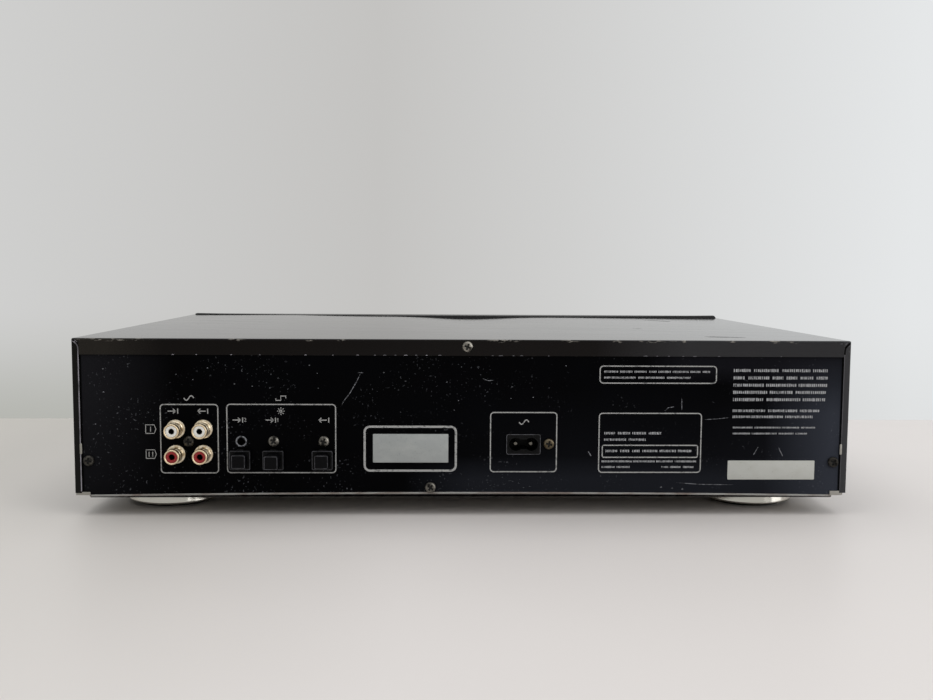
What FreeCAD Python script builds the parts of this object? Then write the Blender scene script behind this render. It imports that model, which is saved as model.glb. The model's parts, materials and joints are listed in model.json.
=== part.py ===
import FreeCAD, Part
import math
import os

# Minidisc deck, a full-size hi-fi component. Millimetres. X runs across, Y from the
# front (low) to the rear (high), Z up from the shelf. The origin is on the shelf, below
# the middle of the deck.

Vector = FreeCAD.Vector

# ---- cabinet ----
CABINET_W = 430.0        # outside the cover's two sides
CABINET_D = 266.0        # cover's rear face to the back edge of the front panel
BODY_H = 87.3            # pan's underside to the cover's top
FOOT_H = 11.0            # shelf to the pan's underside
COVER_T = 0.8            # cover sheet
PAN_T = 1.0              # pan sheet
PANEL_T = 1.0            # rear panel sheet
COVER_BEND_R = 1.5       # outer bend radius of the cover
COVER_LIFT = 2.2         # pan's underside to the cover's lower edge
HEM_H = 7.4              # cover's rear hem, over the top of the rear panel
RETURN_W = 3.4           # cover's side returns, over the ends of the rear panel
SHEET_GAP = 0.3          # between sheets that pass each other
PAN_SIDE_IN = 7.5        # cover's side to the pan's flat bottom
PAN_STEP = 2.4           # height of the step up to the pan's side ledges
PAN_WALL_H = 24.0        # pan's side walls, above its underside
PAN_REAR_FLANGE_H = 14.0 # turned-up rear edge behind the rear panel
PAN_FRONT_FLANGE_H = 9.0 # turned-up front edge behind the front panel
OVER = 1.0               # how far cutting tools reach past the faces they cut
TINY = 0.01              # for picking out edges by their place
VENT_L = 42.0            # cooling slots in the pan
VENT_W = 3.0
VENT_PITCH = 9.0
VENT_COUNT = 6

# ---- screws ----
SCREW_R = 1.5
SCREW_HOLE_R = 1.7
SCREW_HEAD_R = 3.0
SCREW_HEAD_H = 1.9
SCREW_L = 6.5            # under the head
CROSS_L = 3.4            # cross recess
CROSS_W = 0.8
CROSS_DEEP = 1.1
SIDE_SCREW_Z = 12.0      # above the pan's underside
SIDE_SCREW_IN = 32.0     # from each end of the cover
TOP_SCREW_X = -1.1
TOP_SCREW_DOWN = 3.9     # below the cover's top
LOW_SCREW_X = 19.2
LOW_SCREW_Z = 15.4
END_SCREW_IN = 7.5       # end screws, inside the cover's sides
END_SCREW_Z = 30.7

# ---- feet ----
FOOT_R = 27.5
FOOT_TOP_R = 26.2
FOOT_IN = 43.0           # feet's middles, inside the cover's sides
FOOT_REAR_IN = 46.0      # rear feet, ahead of the cover's rear face
FOOT_FRONT_IN = 42.0     # front feet, behind the front panel's back edge
FOOT_GROOVE = 0.8
PAD_R = 22.0
PAD_HOLE_R = 7.0
PAD_PROUD = 2.0
PAD_SEAT = 0.6
FOOT_WELL_R = 6.0
FOOT_WELL_H = 4.0
FOOT_SCREW_R = 2.0
FOOT_SCREW_HOLE_R = 2.2
FOOT_SCREW_HEAD_R = 3.8
FOOT_SCREW_HEAD_H = 2.6
FOOT_SCREW_L = 9.0

# ---- front panel ----
FRONT_D = 22.0           # front face to back edge
FRONT_LIP = 1.5          # front panel above the cover's top
FRONT_DROP = 0.8         # front panel below the pan's underside
FACE_T = 3.0
RIM_T = 2.5
FRONT_CORNER_R = 3.0
BOARD_BEHIND_FACE = 10.0 # face's back to the display board
BOARD_T = 1.6
POST_R = 3.0
CONTROL_GAP = 0.3        # between a control and its hole
BOARD_LOW_TOP = 33.0     # low strip of the display board, above the pan's underside
BOARD_TALL_OUT = 3.0     # board's tall part, past the eject button
BOARD_EDGE = 9.5         # board inside the front panel's ends
BOARD_LIFT = 5.0         # board's lower edge above the pan's underside
BOARD_DOWN = 9.0         # board's upper edge below the cover's top

# ---- cartridge slot and door ----
MECH_X = -85.0           # middle of the slot and of the mechanism
SLOT_Z = 70.0
SLOT_W = 76.0
SLOT_H = 8.0
DOOR_T = 1.2
DOOR_BARREL_R = 1.5
DOOR_PIN_R = 0.75
DOOR_PIN_FIT = 0.05
DOOR_GAP = 0.4           # door behind the face
DOOR_SIDE_GAP = 0.4
DOOR_AXIS_UP = 2.0       # hinge above the slot's top
DOOR_LAP = 0.8           # door below the slot's bottom
EAR_T = 2.0
EAR_GAP = 0.3

# ---- cartridge, for which the mechanism is made ----
CARTRIDGE_W = 72.0
CARTRIDGE_D = 68.0
CARTRIDGE_T = 5.0

# ---- cartridge holder and its cam slider ----
HOLDER_T = 0.8
HOLDER_SIDE_FIT = 0.4    # each side of the cartridge
HOLDER_HIGH_FIT = 0.4    # above and below the cartridge
HOLDER_BACK = 2.0        # holder's length beyond the cartridge
HOLDER_RAIL_W = 6.0      # turned-in rails below the cartridge
HOLDER_DROP = 6.0        # how far the holder comes down
LENS_NOTCH = 14.0        # half the gap in the right rail, over the lens
HEAD_WINDOW = 9.0        # half the head's window in the holder's top
CAM_TRAVEL = 12.0
CAM_PIN_R = 1.5
CAM_SLOT_R = 1.62
FRONT_PIN_IN = 16.0      # pins, behind the holder's front edge
REAR_PIN_IN = 60.0
CAM_GAP = 6.8            # cam plates beside the holder
CAM_T = 1.2
CAM_LOW = 12.0           # cam plates below and above the pins at rest
CAM_HIGH = 6.0
CAM_BRIDGE_D = 7.0
RACK_W = 3.0
RACK_H = 2.6
RACK_SPARE = 4.7         # rack past the pinion's middle at each end of its travel
RACK_ROOT = 1.4          # solid rack behind its teeth

# ---- loading gears ----
RACK_MODULE = 0.6
RACK_PINION_TEETH = 18
DRIVE_MODULE = 0.5
WHEEL_TEETH = 48
MOTOR_TEETH = 12
BACKLASH = 0.12
ADDENDUM = 0.85          # of the module
DEDENDUM = 1.2           # of the module
PRESSURE_ANGLE = 20.0
WHEEL_T = 2.0
WHEEL_LIFT = 0.8         # wheel above the mechanism's base
PINION_GAP = 0.15        # between wheel and rack
MOTOR_GEAR_T = 3.2
GEAR_BORE_FIT = 0.05
GEAR_AXLE_R = 1.0
MOTOR_SHAFT_R = 0.8
LOAD_MOTOR_R = 10.0
LOAD_MOTOR_H = 18.0
MOTOR_TABLE_T = 1.2
MOTOR_TABLE_GAP = 0.5

# ---- disc mechanism ----
BASE_Z = 48.0            # underside of the mechanism's base
BASE_T = 1.5
UPRIGHT_GAP = 3.3        # uprights beside the cam plates
BASE_FRONT = 8.0         # base's front edge, ahead of the holder's front edge
BASE_BACK = 26.0         # base's back edge, behind the holder's
WALL_T = 1.5             # uprights with the pins' slots
WALL_HALF_D = 5.0
WALL_UP = 5.0            # above the pins
DAMPER_H = 3.0
DAMPER_R = 6.0
DAMPER_HOLE_R = 2.5
BRACKET_T = 1.2
BRACKET_FOOT_W = 6.0
BRACKET_FRAME_W = 14.0   # of the frame that the dampers stand on
SPINDLE_R = 11.0
SPINDLE_H = 7.5
SPINDLE_SHAFT_R = 1.0
TURNTABLE_R = 8.0
TURNTABLE_T = 3.0
TURNTABLE_GAP = 1.2      # above the motor
NOSE_R = 1.9
NOSE_H = 1.6
SHAFT_FIT = 0.03
ROD_R = 1.5
ROD_Z = 4.8              # rods' axis above the base
ROD_HALF_PITCH = 17.0
ROD_FIT = 0.05
ROD_LEFT = 26.0          # rods' ends, from the disc's middle
ROD_END_IN = 1.5         # rods' other ends, inside the base's edge
TAB_T = 1.5
TAB_HALF = 2.4
SLED_FIRST = 14.5        # lens from the disc's middle, innermost
SLED_LAST = 31.0         # outermost
SLED_LEFT = 2.8          # sled body, left of the lens
SLED_RIGHT = 14.5
SLED_HALF_D = 20.0
SLED_LOW = 1.6           # sled above the base
SLED_HIGH = 8.0
LENS_R = 2.4
LENS_UP = 1.6
LENS_GAP = 0.15
SCREW_OFF = 24.0         # lead screw behind the disc's middle
LEAD_SCREW_R = 1.5
LEAD_PITCH = 2.5
LEAD_FIT = 0.1
SCREW_SOCKET = 2.0       # lead screw inside its motor
SCREW_TAB_IN = 6.0       # its far tab, inside the base's edge
SLED_MOTOR_R = 4.4
SLED_MOTOR_L = 20.0
SLED_MOTOR_X = 22.0      # its shaft end, left of the disc's middle
HEAD_POST_GAP = 0.9      # post behind the holder
HEAD_POST_T = 3.0
HEAD_PIVOT_UP = 5.2      # arm's pivot above the holder's top
HEAD_PIVOT_R = 0.8
HEAD_PIVOT_FIT = 0.05
HEAD_ARM_W = 5.0
HEAD_ARM_T = 0.9
HEAD_W = 6.0
HEAD_CLEAR = 0.5         # head above the holder's top at rest
HEAD_EAR_T = 1.2
MOTOR_EDGE_R = 1.0       # rounded edges of the motors' cans
NOSE_MARGIN = 1.0        # turntable's ring groove
TURNTABLE_RIM = 1.5
GROOVE_DEEP = 0.4
THREAD_CORE = 0.8        # of the lead screw's radius
LENS_GLASS = 0.8         # of the lens holder's radius
LENS_SEAT = 1.0
SHAFT_END_GAP = 1.5      # spindle shaft's end above the motor's floor

# ---- buttons, knobs and their switches ----
BUTTON_W = 20.0
BUTTON_H = 9.0
BUTTON_PROUD = 2.0
BUTTON_TRAVEL = 0.5
BUTTON_FLANGE = 1.2      # flange round the button behind the face
BUTTON_FLANGE_T = 1.2
BUTTON_R = 1.2
SOFT_EDGE = 0.5          # rounded front edges of buttons, lever and plugs
KNOB_EDGE = 1.2
SLOT_R = 1.0
POST_HALF = 1.6          # button's post to its switch
BUTTON_ROW_Z = 32.0
BUTTON_ROW_X = 10.0      # first of the row
BUTTON_PITCH = 24.0
EJECT_OUT = 14.0         # its middle, outside the display window's edge
EJECT_W = 14.0
POWER_IN = 27.0          # controls near the ends, inside the cover's sides
POWER_W = 17.0
POWER_H = 11.0
POWER_TRAVEL = 2.5
POWER_PROUD = 4.0
SWITCH_W = 6.0
SWITCH_H = 3.4
PLUNGER_R = 1.6
PLUNGER_H = 0.9
PLUNGER_GAP = 0.6
DIAL_IN = 53.0
DIAL_Z = 62.0
DIAL_R = 21.0
DIAL_L = 13.0
DIMPLE_R = 7.0
DIMPLE_OFF = 11.5
DIMPLE_DEEP = 1.6
KNOB_R = 7.5
KNOB_L = 11.5
KNOB_FACE_GAP = 0.5      # knobs ahead of the face
RECORD_KNOB_IN = 165.0
PHONES_KNOB_IN = 127.0
STEM_R = 2.0
STEM_FIT = 0.05
STEM_FLOOR = 1.0         # of the control, behind its stem
BUSH_WALL = 1.2
BUSH_FACE_GAP = 0.4
CONTROL_W = 10.0
CONTROL_H = 6.0
MARK_W = 1.0
MARK_DEEP = 0.5
TIMER_IN = 65.0
TIMER_TRAVEL = 4.0
TIMER_W = 5.0
TIMER_H = 4.4
TIMER_PROUD = 3.0
TIMER_FLANGE_LAP = 1.4
TIMER_SWITCH_H = 5.0
JACK_IN = 97.0
JACK_BORE_R = 3.25       # for a 6.35 mm plug
JACK_L = 30.0
JACK_RING_R = 6.0
JACK_RING_PROUD = 2.0
JACK_BODY_W = 14.0
JACK_FLOOR = 1.0
LOW_ROW_Z = 30.0
WINDOW_X = 50.0
WINDOW_Z = 70.0
WINDOW_W = 116.0
WINDOW_H = 26.0
WINDOW_FIT = 0.1
WINDOW_T = 2.6
WINDOW_FLANGE = 2.0
WINDOW_FLANGE_T = 1.0
TUBE_SIDE_IN = 6.0       # display tube, inside the window's ends
TUBE_EDGE_IN = 2.0       # and inside its long edges
TUBE_T = 6.0

# ---- rear sockets, in the plane of the rear panel ----
PHONO_IN = (55.3, 70.4)  # sockets on the main board, inside the cover's side
PHONO_Z = (34.9, 49.0)
PHONO_R = 4.15
PHONO_BORE_R = 3.6
PHONO_L = 9.2
PHONO_FLANGE_R = 5.2
PHONO_FLANGE_T = 0.8
PHONO_HOLE_R = 5.5
PHONO_PIN_HOLE_R = 1.6
PHONO_INSERT_IN = 0.7
INSERT_FIT = 0.05
PHONO_BLOCK_MARGIN = 8.6
PHONO_BLOCK_D = 13.0
PHONO_SCREW_IN = 62.8
PHONO_SCREW_Z = 42.0
OPTICAL_IN = (90.9, 109.1, 136.1)
OPTICAL_Z = 32.1
OPTICAL_W = 11.0
OPTICAL_H = 10.3
OPTICAL_COLLAR = 3.6
OPTICAL_BACK = 11.0
PLUG_W = 7.75
PLUG_FIT = 0.15
PLUG_OUT = (8.5, 11.5, 9.0)
PLUG_NOSE_OUT = 2.6      # free length left in the socket when a plug is as deep as it goes
PLUG_IN = 8.5            # how far out a fully seated plug stands
OPTICAL_SCREW_IN = (109.0, 136.7)
OPTICAL_SCREW_Z = 42.2
EMPTY_HOLE_IN = 91.1
EMPTY_HOLE_Z = 42.0
CORNER_CUT = 1.4
PLUG_CHAMFER = 0.4
SOCKET_FLOOR = 1.0
INLET_X = -32.6
INLET_Z = 40.6
INLET_W = 19.2
INLET_H = 11.5
INLET_PROUD = 0.4
INLET_BACK = 19.0
INLET_LOBE_R = 3.7
INLET_PITCH = 8.6
INLET_WAIST = 2.7
INLET_DEEP = 12.0
INLET_PIN_R = 1.2
INLET_PIN_L = 9.5
INLET_PIN_EDGE = 0.6
INLET_EAR_T = 2.5
INLET_SCREW = (-46.8, 40.9)
PRESS = 0.2              # panel holes around moulded sockets

# ---- boards and what stands on them ----
MAIN_BOARD_Z = 24.0
MAIN_BOARD_LEFT = 20.0
MAIN_BOARD_IN = 11.0     # its right edge, inside the cover's side
MAIN_BOARD_D = 190.0
POWER_BOARD_X = (-112.0, -12.0)
POWER_BOARD_D = 84.0
BOARD_REAR_GAP = 3.0
TRANSFORMER_SIDE_IN = 47.0
TRANSFORMER_IN = 78.0    # its middle, ahead of the rear face
CORE_W = 57.0
CORE_D = 30.0
CORE_H = 48.0
COIL_W = 33.0
COIL_D = 48.0
COIL_H = 30.0
CAPACITORS = ((-90.0, 30.0, 9.0, 28.0), (-66.0, 34.0, 8.0, 25.0), (-90.0, 58.0, 6.5, 20.0),
              (44.0, 36.0, 5.0, 12.0), (60.0, 36.0, 5.0, 12.0), (128.0, 44.0, 4.0, 9.0))
CHIPS = ((70.0, 110.0, 20.0, 20.0), (112.0, 100.0, 14.0, 14.0), (150.0, 116.0, 16.0, 9.0),
         (96.0, 150.0, 24.0, 12.0), (170.0, 70.0, 10.0, 6.0))
CHIP_T = 2.2
BOARD_SCREW_INSET = 6.0
CORE_FLANGE = 9.0        # transformer's feet, past each side of its core
CORE_FLANGE_D = 18.0
CORE_FLANGE_T = 1.5
COIL_R = 4.0
CAN_R = 0.5              # rounded top edge of the capacitors' cans

# ---- places that follow from the sizes ----
TOP_Z = FOOT_H + BODY_H
HALF_W = CABINET_W / 2
PAN_HALF_W = HALF_W - PAN_SIDE_IN
END_SCREW_X = HALF_W - END_SCREW_IN
FOOT_X = HALF_W - FOOT_IN
POWER_X = POWER_IN - HALF_W
TIMER_X = TIMER_IN - HALF_W
JACK_X = JACK_IN - HALF_W
PHONES_KNOB_X = PHONES_KNOB_IN - HALF_W
RECORD_KNOB_X = RECORD_KNOB_IN - HALF_W
EJECT_X = WINDOW_X - WINDOW_W / 2 - EJECT_OUT
BOARD_TALL_X = EJECT_X - EJECT_W / 2 - BOARD_TALL_OUT
TUBE_W = WINDOW_W - 2 * TUBE_SIDE_IN
TUBE_H = WINDOW_H - 2 * TUBE_EDGE_IN
DIAL_X = HALF_W - DIAL_IN
PHONO_X = tuple(HALF_W - inset for inset in PHONO_IN)
PHONO_SCREW = (HALF_W - PHONO_SCREW_IN, PHONO_SCREW_Z)
OPTICAL_X = tuple(HALF_W - inset for inset in OPTICAL_IN)
OPTICAL_SCREW_X = tuple(HALF_W - inset for inset in OPTICAL_SCREW_IN)
EMPTY_HOLE = (HALF_W - EMPTY_HOLE_IN, EMPTY_HOLE_Z)
MAIN_BOARD_X = (MAIN_BOARD_LEFT, HALF_W - MAIN_BOARD_IN)
TRANSFORMER_X = TRANSFORMER_SIDE_IN - HALF_W
REAR_REACH = max(PLUG_OUT) - COVER_T
FRONT_REACH = FRONT_D + KNOB_FACE_GAP + DIAL_L
REAR_Y = (CABINET_D + FRONT_REACH - REAR_REACH) / 2
PANEL_Y = REAR_Y - COVER_T                  # rear panel's outer face
PANEL_IN_Y = PANEL_Y - PANEL_T
EDGE_Y = REAR_Y - CABINET_D                 # back edge of the front panel
FACE_Y = EDGE_Y - FRONT_D                   # front face
FACE_IN_Y = FACE_Y + FACE_T
BOARD_Y = FACE_IN_Y + BOARD_BEHIND_FACE     # display board's front side
PAN_TOP = FOOT_H + PAN_T
COVER_FRONT_Y = EDGE_Y + SHEET_GAP
WALL_X = HALF_W - COVER_T - SHEET_GAP       # outer face of the pan's side walls
SIDE_SCREW_Y = (EDGE_Y + SIDE_SCREW_IN, REAR_Y - SIDE_SCREW_IN)
FOOT_Y = (EDGE_Y + FOOT_FRONT_IN, REAR_Y - FOOT_REAR_IN)
FOOT_PLACES = [(side * FOOT_X, y) for side in (-1, 1) for y in FOOT_Y]
BOARD_TOP = MAIN_BOARD_Z + BOARD_T
BOARD_REAR_Y = PANEL_IN_Y - BOARD_REAR_GAP

DOOR_AXIS_Y = FACE_IN_Y + DOOR_GAP + DOOR_BARREL_R
DOOR_AXIS_Z = SLOT_Z + SLOT_H / 2 + DOOR_AXIS_UP
DOOR_L = DOOR_AXIS_UP + SLOT_H + DOOR_LAP
HOLDER_Y = DOOR_AXIS_Y + DOOR_L + DOOR_BARREL_R - DOOR_SIDE_GAP
HOLDER_L = CARTRIDGE_D + HOLDER_BACK
HOLDER_IN_W = CARTRIDGE_W / 2 + HOLDER_SIDE_FIT
HOLDER_IN_H = CARTRIDGE_T / 2 + HOLDER_HIGH_FIT
HOLDER_TOP = SLOT_Z + HOLDER_IN_H + HOLDER_T
CAM_X = HOLDER_IN_W + HOLDER_T + CAM_GAP    # cam plates' inner faces, from the mechanism's middle
BASE_HALF_W = CAM_X + CAM_T + UPRIGHT_GAP + WALL_T
ROD_RIGHT = BASE_HALF_W - ROD_END_IN
PIN_Y = (HOLDER_Y + FRONT_PIN_IN, HOLDER_Y + REAR_PIN_IN)
DISC_Y = HOLDER_Y + CARTRIDGE_D / 2
BASE_TOP = BASE_Z + BASE_T
BASE_Y = (HOLDER_Y - BASE_FRONT, HOLDER_Y + HOLDER_L + BASE_BACK)
RACK_Z = BASE_TOP + WHEEL_LIFT + WHEEL_T + PINION_GAP
RACK_LINE_X = MECH_X - CAM_X - CAM_T - RACK_W + RACK_ROOT
WHEEL_X = RACK_LINE_X - RACK_MODULE * RACK_PINION_TEETH / 2
WHEEL_Y = (PIN_Y[0] + PIN_Y[1]) / 2
MOTOR_GEAR_X = WHEEL_X - DRIVE_MODULE * (WHEEL_TEETH + MOTOR_TEETH) / 2
TABLE_Z = RACK_Z + RACK_H + MOTOR_TABLE_GAP
TABLE_LEFT = MOTOR_GEAR_X - LOAD_MOTOR_R - MOTOR_TABLE_T
ROD_AXIS_Z = BASE_TOP + ROD_Z
LENS_X = MECH_X + SLED_FIRST
SCREW_Y = DISC_Y + SCREW_OFF
HEAD_POST_Y = HOLDER_Y + HOLDER_L + HEAD_POST_GAP
HEAD_PIVOT_Y = HEAD_POST_Y + HEAD_POST_T / 2
HEAD_PIVOT_Z = HOLDER_TOP + HEAD_PIVOT_UP


# ---- helpers ----
def block(x, y, z):
    """A box between (low, high) pairs on each axis."""
    corner = Vector(x[0], y[0], z[0])
    return Part.makeBox(x[1] - x[0], y[1] - y[0], z[1] - z[0], corner)


def about(middle, width):
    return (middle - width / 2, middle + width / 2)


def span(start, length):
    return (start, start + length)


def bar(radius, start, axis, length):
    """A round bar from a point, along "x", "y" or "z"."""
    directions = {"x": Vector(1, 0, 0), "y": Vector(0, 1, 0), "z": Vector(0, 0, 1)}
    return Part.makeCylinder(radius, length, Vector(*start), directions[axis])


def joined(shapes):
    return shapes[0].fuse(shapes[1:]).removeSplitter()


def fillet(shape, radius, wanted):
    """Rounds each edge whose bounding box the test accepts."""
    edges = [edge for edge in shape.Edges if wanted(edge.BoundBox)]
    return shape.makeFillet(radius, edges)


def rounded_slab(x, y, z, radius):
    """A box whose edges along Y are rounded."""
    return fillet(block(x, y, z), radius, lambda box: box.YLength > (y[1] - y[0]) / 2
                  and box.XLength < radius and box.ZLength < radius)


def slot_bar(radius, start, end, x, length):
    """A bar of slotted section along X, between two (y, z) centres."""
    run = math.hypot(end[0] - start[0], end[1] - start[1])
    tilt = math.degrees(math.atan2(end[1] - start[1], end[0] - start[0]))
    middle = Part.makeBox(length, run, 2 * radius, Vector(x, start[0], start[1] - radius))
    middle.rotate(Vector(x, start[0], start[1]), Vector(1, 0, 0), tilt)
    ends = [bar(radius, (x, y, z), "x", length) for y, z in (start, end)]
    return joined([middle] + ends)


def turned(shape, at, direction):
    """Moves a shape built along +Z so that it points along the direction at a point."""
    turn = FreeCAD.Rotation(Vector(0, 0, 1), Vector(*direction))
    shape.Placement = FreeCAD.Placement(Vector(*at), turn)
    return shape


def screw(at, direction, radius=SCREW_R, head_r=SCREW_HEAD_R, head_h=SCREW_HEAD_H, length=SCREW_L):
    """A pan-head screw whose head sits on a face at the point and faces the direction."""
    dome_r = (head_r ** 2 + head_h ** 2) / (2 * head_h)
    dome = Part.makeSphere(dome_r, Vector(0, 0, head_h - dome_r))
    head = dome.common(Part.makeCylinder(head_r, head_h))
    body = head.fuse(Part.makeCylinder(radius, length, Vector(0, 0, -length)))
    recess = (head_h - CROSS_DEEP, head_h)
    cross = [block(about(0, CROSS_L), about(0, CROSS_W), recess),
             block(about(0, CROSS_W), about(0, CROSS_L), recess)]
    return turned(body.cut(cross), at, direction)


def flank_angle(radius, pitch_r, base_r, half_pitch_angle):
    """Half the angle of a tooth at a radius, on an involute flank."""
    def involute(cosine):
        angle = math.acos(min(1.0, cosine))
        return math.tan(angle) - angle
    return half_pitch_angle + involute(base_r / pitch_r) - involute(base_r / max(radius, base_r))


def gear(teeth, module, centre, height, first_angle=0.0, flank_points=5):
    """A spur gear about +Z, with a tooth's middle at the first angle."""
    pitch_r = module * teeth / 2
    base_r = pitch_r * math.cos(math.radians(PRESSURE_ANGLE))
    root_r = pitch_r - DEDENDUM * module
    tip_r = pitch_r + ADDENDUM * module
    half = math.pi / (2 * teeth) - BACKLASH / (4 * pitch_r)
    radii = [root_r + (tip_r - root_r) * step / (flank_points - 1) for step in range(flank_points)]
    flank = [(radius, flank_angle(radius, pitch_r, base_r, half)) for radius in radii]
    points = []
    for tooth in range(teeth):
        middle = first_angle + 2 * math.pi * tooth / teeth
        sides = [(r, middle - a) for r, a in flank] + [(r, middle + a) for r, a in reversed(flank)]
        points += [Vector(centre[0] + r * math.cos(a), centre[1] + r * math.sin(a), centre[2])
                   for r, a in sides]
    outline = Part.makePolygon(points + points[:1])
    return Part.Face(outline).extrude(Vector(0, 0, height))


# ---- cabinet ----
def top_cover():
    """One folded sheet: top, two sides, a rear hem and two rear returns."""
    shell = block((-HALF_W, HALF_W), (COVER_FRONT_Y, REAR_Y), (FOOT_H + COVER_LIFT, TOP_Z))
    shell = fillet(shell, COVER_BEND_R, lambda box: (
        (box.ZMin > TOP_Z - OVER and (box.YLength > box.XLength or box.YMin > REAR_Y - OVER))
        or (box.YMin > REAR_Y - OVER and box.ZLength > box.XLength)))
    inside = block(about(0, CABINET_W - 2 * COVER_T), (COVER_FRONT_Y - OVER, PANEL_Y), (0, TOP_Z - COVER_T))
    window = block(about(0, CABINET_W - 2 * RETURN_W), (PANEL_Y - OVER, REAR_Y + OVER), (0, TOP_Z - HEM_H))
    holes = [bar(SCREW_HOLE_R, (-HALF_W - OVER, y, FOOT_H + SIDE_SCREW_Z), "x", CABINET_W + 2 * OVER)
             for y in SIDE_SCREW_Y]
    hem_hole = bar(SCREW_HOLE_R, (TOP_SCREW_X, PANEL_Y - OVER, TOP_Z - TOP_SCREW_DOWN), "y",
                   COVER_T + 2 * OVER)
    return shell.cut([inside, window, hem_hole] + holes)


def vent_slots():
    places = []
    for middle_x in (TRANSFORMER_X, -TRANSFORMER_X):
        for row in range(VENT_COUNT):
            y = REAR_Y - TRANSFORMER_IN - FOOT_R - VENT_PITCH * row
            places.append(block(about(middle_x, VENT_L), about(y, VENT_W), (FOOT_H - OVER, PAN_TOP + OVER)))
    return places


def bottom_chassis():
    """The pan: flat bottom, stepped sides, rear and front flanges, with board standoffs."""
    length = (EDGE_Y, PANEL_Y)
    step_top = FOOT_H + PAN_STEP + PAN_T
    pieces = [block((-PAN_HALF_W, PAN_HALF_W), length, (FOOT_H, PAN_TOP))]
    inner = (EDGE_Y, PANEL_IN_Y)
    for side in (-1, 1):
        riser = sorted((side * (PAN_HALF_W - PAN_T), side * PAN_HALF_W))
        ledge = sorted((side * (PAN_HALF_W - PAN_T), side * WALL_X))
        wall = sorted((side * (WALL_X - PAN_T), side * WALL_X))
        pieces += [block(riser, inner, (FOOT_H, step_top)),
                   block(ledge, inner, (step_top - PAN_T, step_top)),
                   block(wall, inner, (step_top - PAN_T, FOOT_H + PAN_WALL_H))]
    flange_x = about(0, 2 * (PAN_HALF_W - PAN_T))
    pieces += [block(flange_x, (PANEL_IN_Y - PAN_T, PANEL_IN_Y), (FOOT_H, FOOT_H + PAN_REAR_FLANGE_H)),
               block(flange_x, span(EDGE_Y, PAN_T), (FOOT_H, FOOT_H + PAN_FRONT_FLANGE_H))]
    pieces += [bar(POST_R, (x, y, PAN_TOP), "z", MAIN_BOARD_Z - PAN_TOP) for x, y in standoff_places()]
    pan = joined(pieces)
    holes = [bar(SCREW_HOLE_R, (-HALF_W, y, FOOT_H + SIDE_SCREW_Z), "x", CABINET_W)
             for y in SIDE_SCREW_Y]
    holes += [bar(FOOT_SCREW_HOLE_R, (x, y, FOOT_H - OVER), "z", PAN_T + 2 * OVER) for x, y in FOOT_PLACES]
    holes.append(bar(SCREW_HOLE_R, (LOW_SCREW_X, PANEL_IN_Y - 2 * PAN_T, LOW_SCREW_Z), "y", 3 * PAN_T))
    return pan.cut(holes + vent_slots())


def board_corners(x_range, depth):
    """Four places on a board that ends behind the rear panel."""
    inset = BOARD_SCREW_INSET
    return [(x, y) for x in (x_range[0] + inset, x_range[1] - inset)
            for y in (BOARD_REAR_Y - depth + inset, BOARD_REAR_Y - inset)]


def standoff_places():
    return board_corners(MAIN_BOARD_X, MAIN_BOARD_D) + board_corners(POWER_BOARD_X, POWER_BOARD_D)


def feet():
    """Four turned feet with a groove, a well for the screw and a seat for the pad."""
    solids = []
    for x, y in FOOT_PLACES:
        rise = FOOT_H - PAD_PROUD
        foot = Part.makeCone(FOOT_R, FOOT_TOP_R, rise, Vector(x, y, PAD_PROUD))
        ring = bar(FOOT_R + OVER, (x, y, PAD_PROUD + rise / 2), "z", FOOT_GROOVE)
        ring = ring.cut(bar(FOOT_TOP_R - FOOT_GROOVE, (x, y, PAD_PROUD), "z", rise))
        cuts = [ring, bar(PAD_R, (x, y, PAD_PROUD), "z", PAD_SEAT),
                bar(FOOT_WELL_R, (x, y, PAD_PROUD), "z", PAD_SEAT + FOOT_WELL_H),
                bar(FOOT_SCREW_HOLE_R, (x, y, PAD_PROUD), "z", rise)]
        solids.append(foot.cut(cuts))
    return solids


def foot_pads():
    height = PAD_PROUD + PAD_SEAT
    return [bar(PAD_R, (x, y, 0), "z", height).cut(bar(PAD_HOLE_R, (x, y, 0), "z", height))
            for x, y in FOOT_PLACES]


def foot_screws():
    well_top = PAD_PROUD + PAD_SEAT + FOOT_WELL_H
    return [screw((x, y, well_top), (0, 0, -1), FOOT_SCREW_R, FOOT_SCREW_HEAD_R,
                  FOOT_SCREW_HEAD_H, FOOT_SCREW_L) for x, y in FOOT_PLACES]


def rear_screw_places():
    """Screws through the rear panel, as (x, z)."""
    return [(LOW_SCREW_X, LOW_SCREW_Z), (END_SCREW_X, END_SCREW_Z), (-END_SCREW_X, END_SCREW_Z),
            PHONO_SCREW, INLET_SCREW] + [(x, OPTICAL_SCREW_Z) for x in OPTICAL_SCREW_X]


def panel_screws():
    """The rear panel's screws, the hem's screw and two on each side of the cover."""
    screws = [screw((x, PANEL_Y, z), (0, 1, 0)) for x, z in rear_screw_places()]
    screws.append(screw((TOP_SCREW_X, REAR_Y, TOP_Z - TOP_SCREW_DOWN), (0, 1, 0)))
    for side in (-1, 1):
        screws += [screw((side * HALF_W, y, FOOT_H + SIDE_SCREW_Z), (side, 0, 0)) for y in SIDE_SCREW_Y]
    return screws


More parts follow.
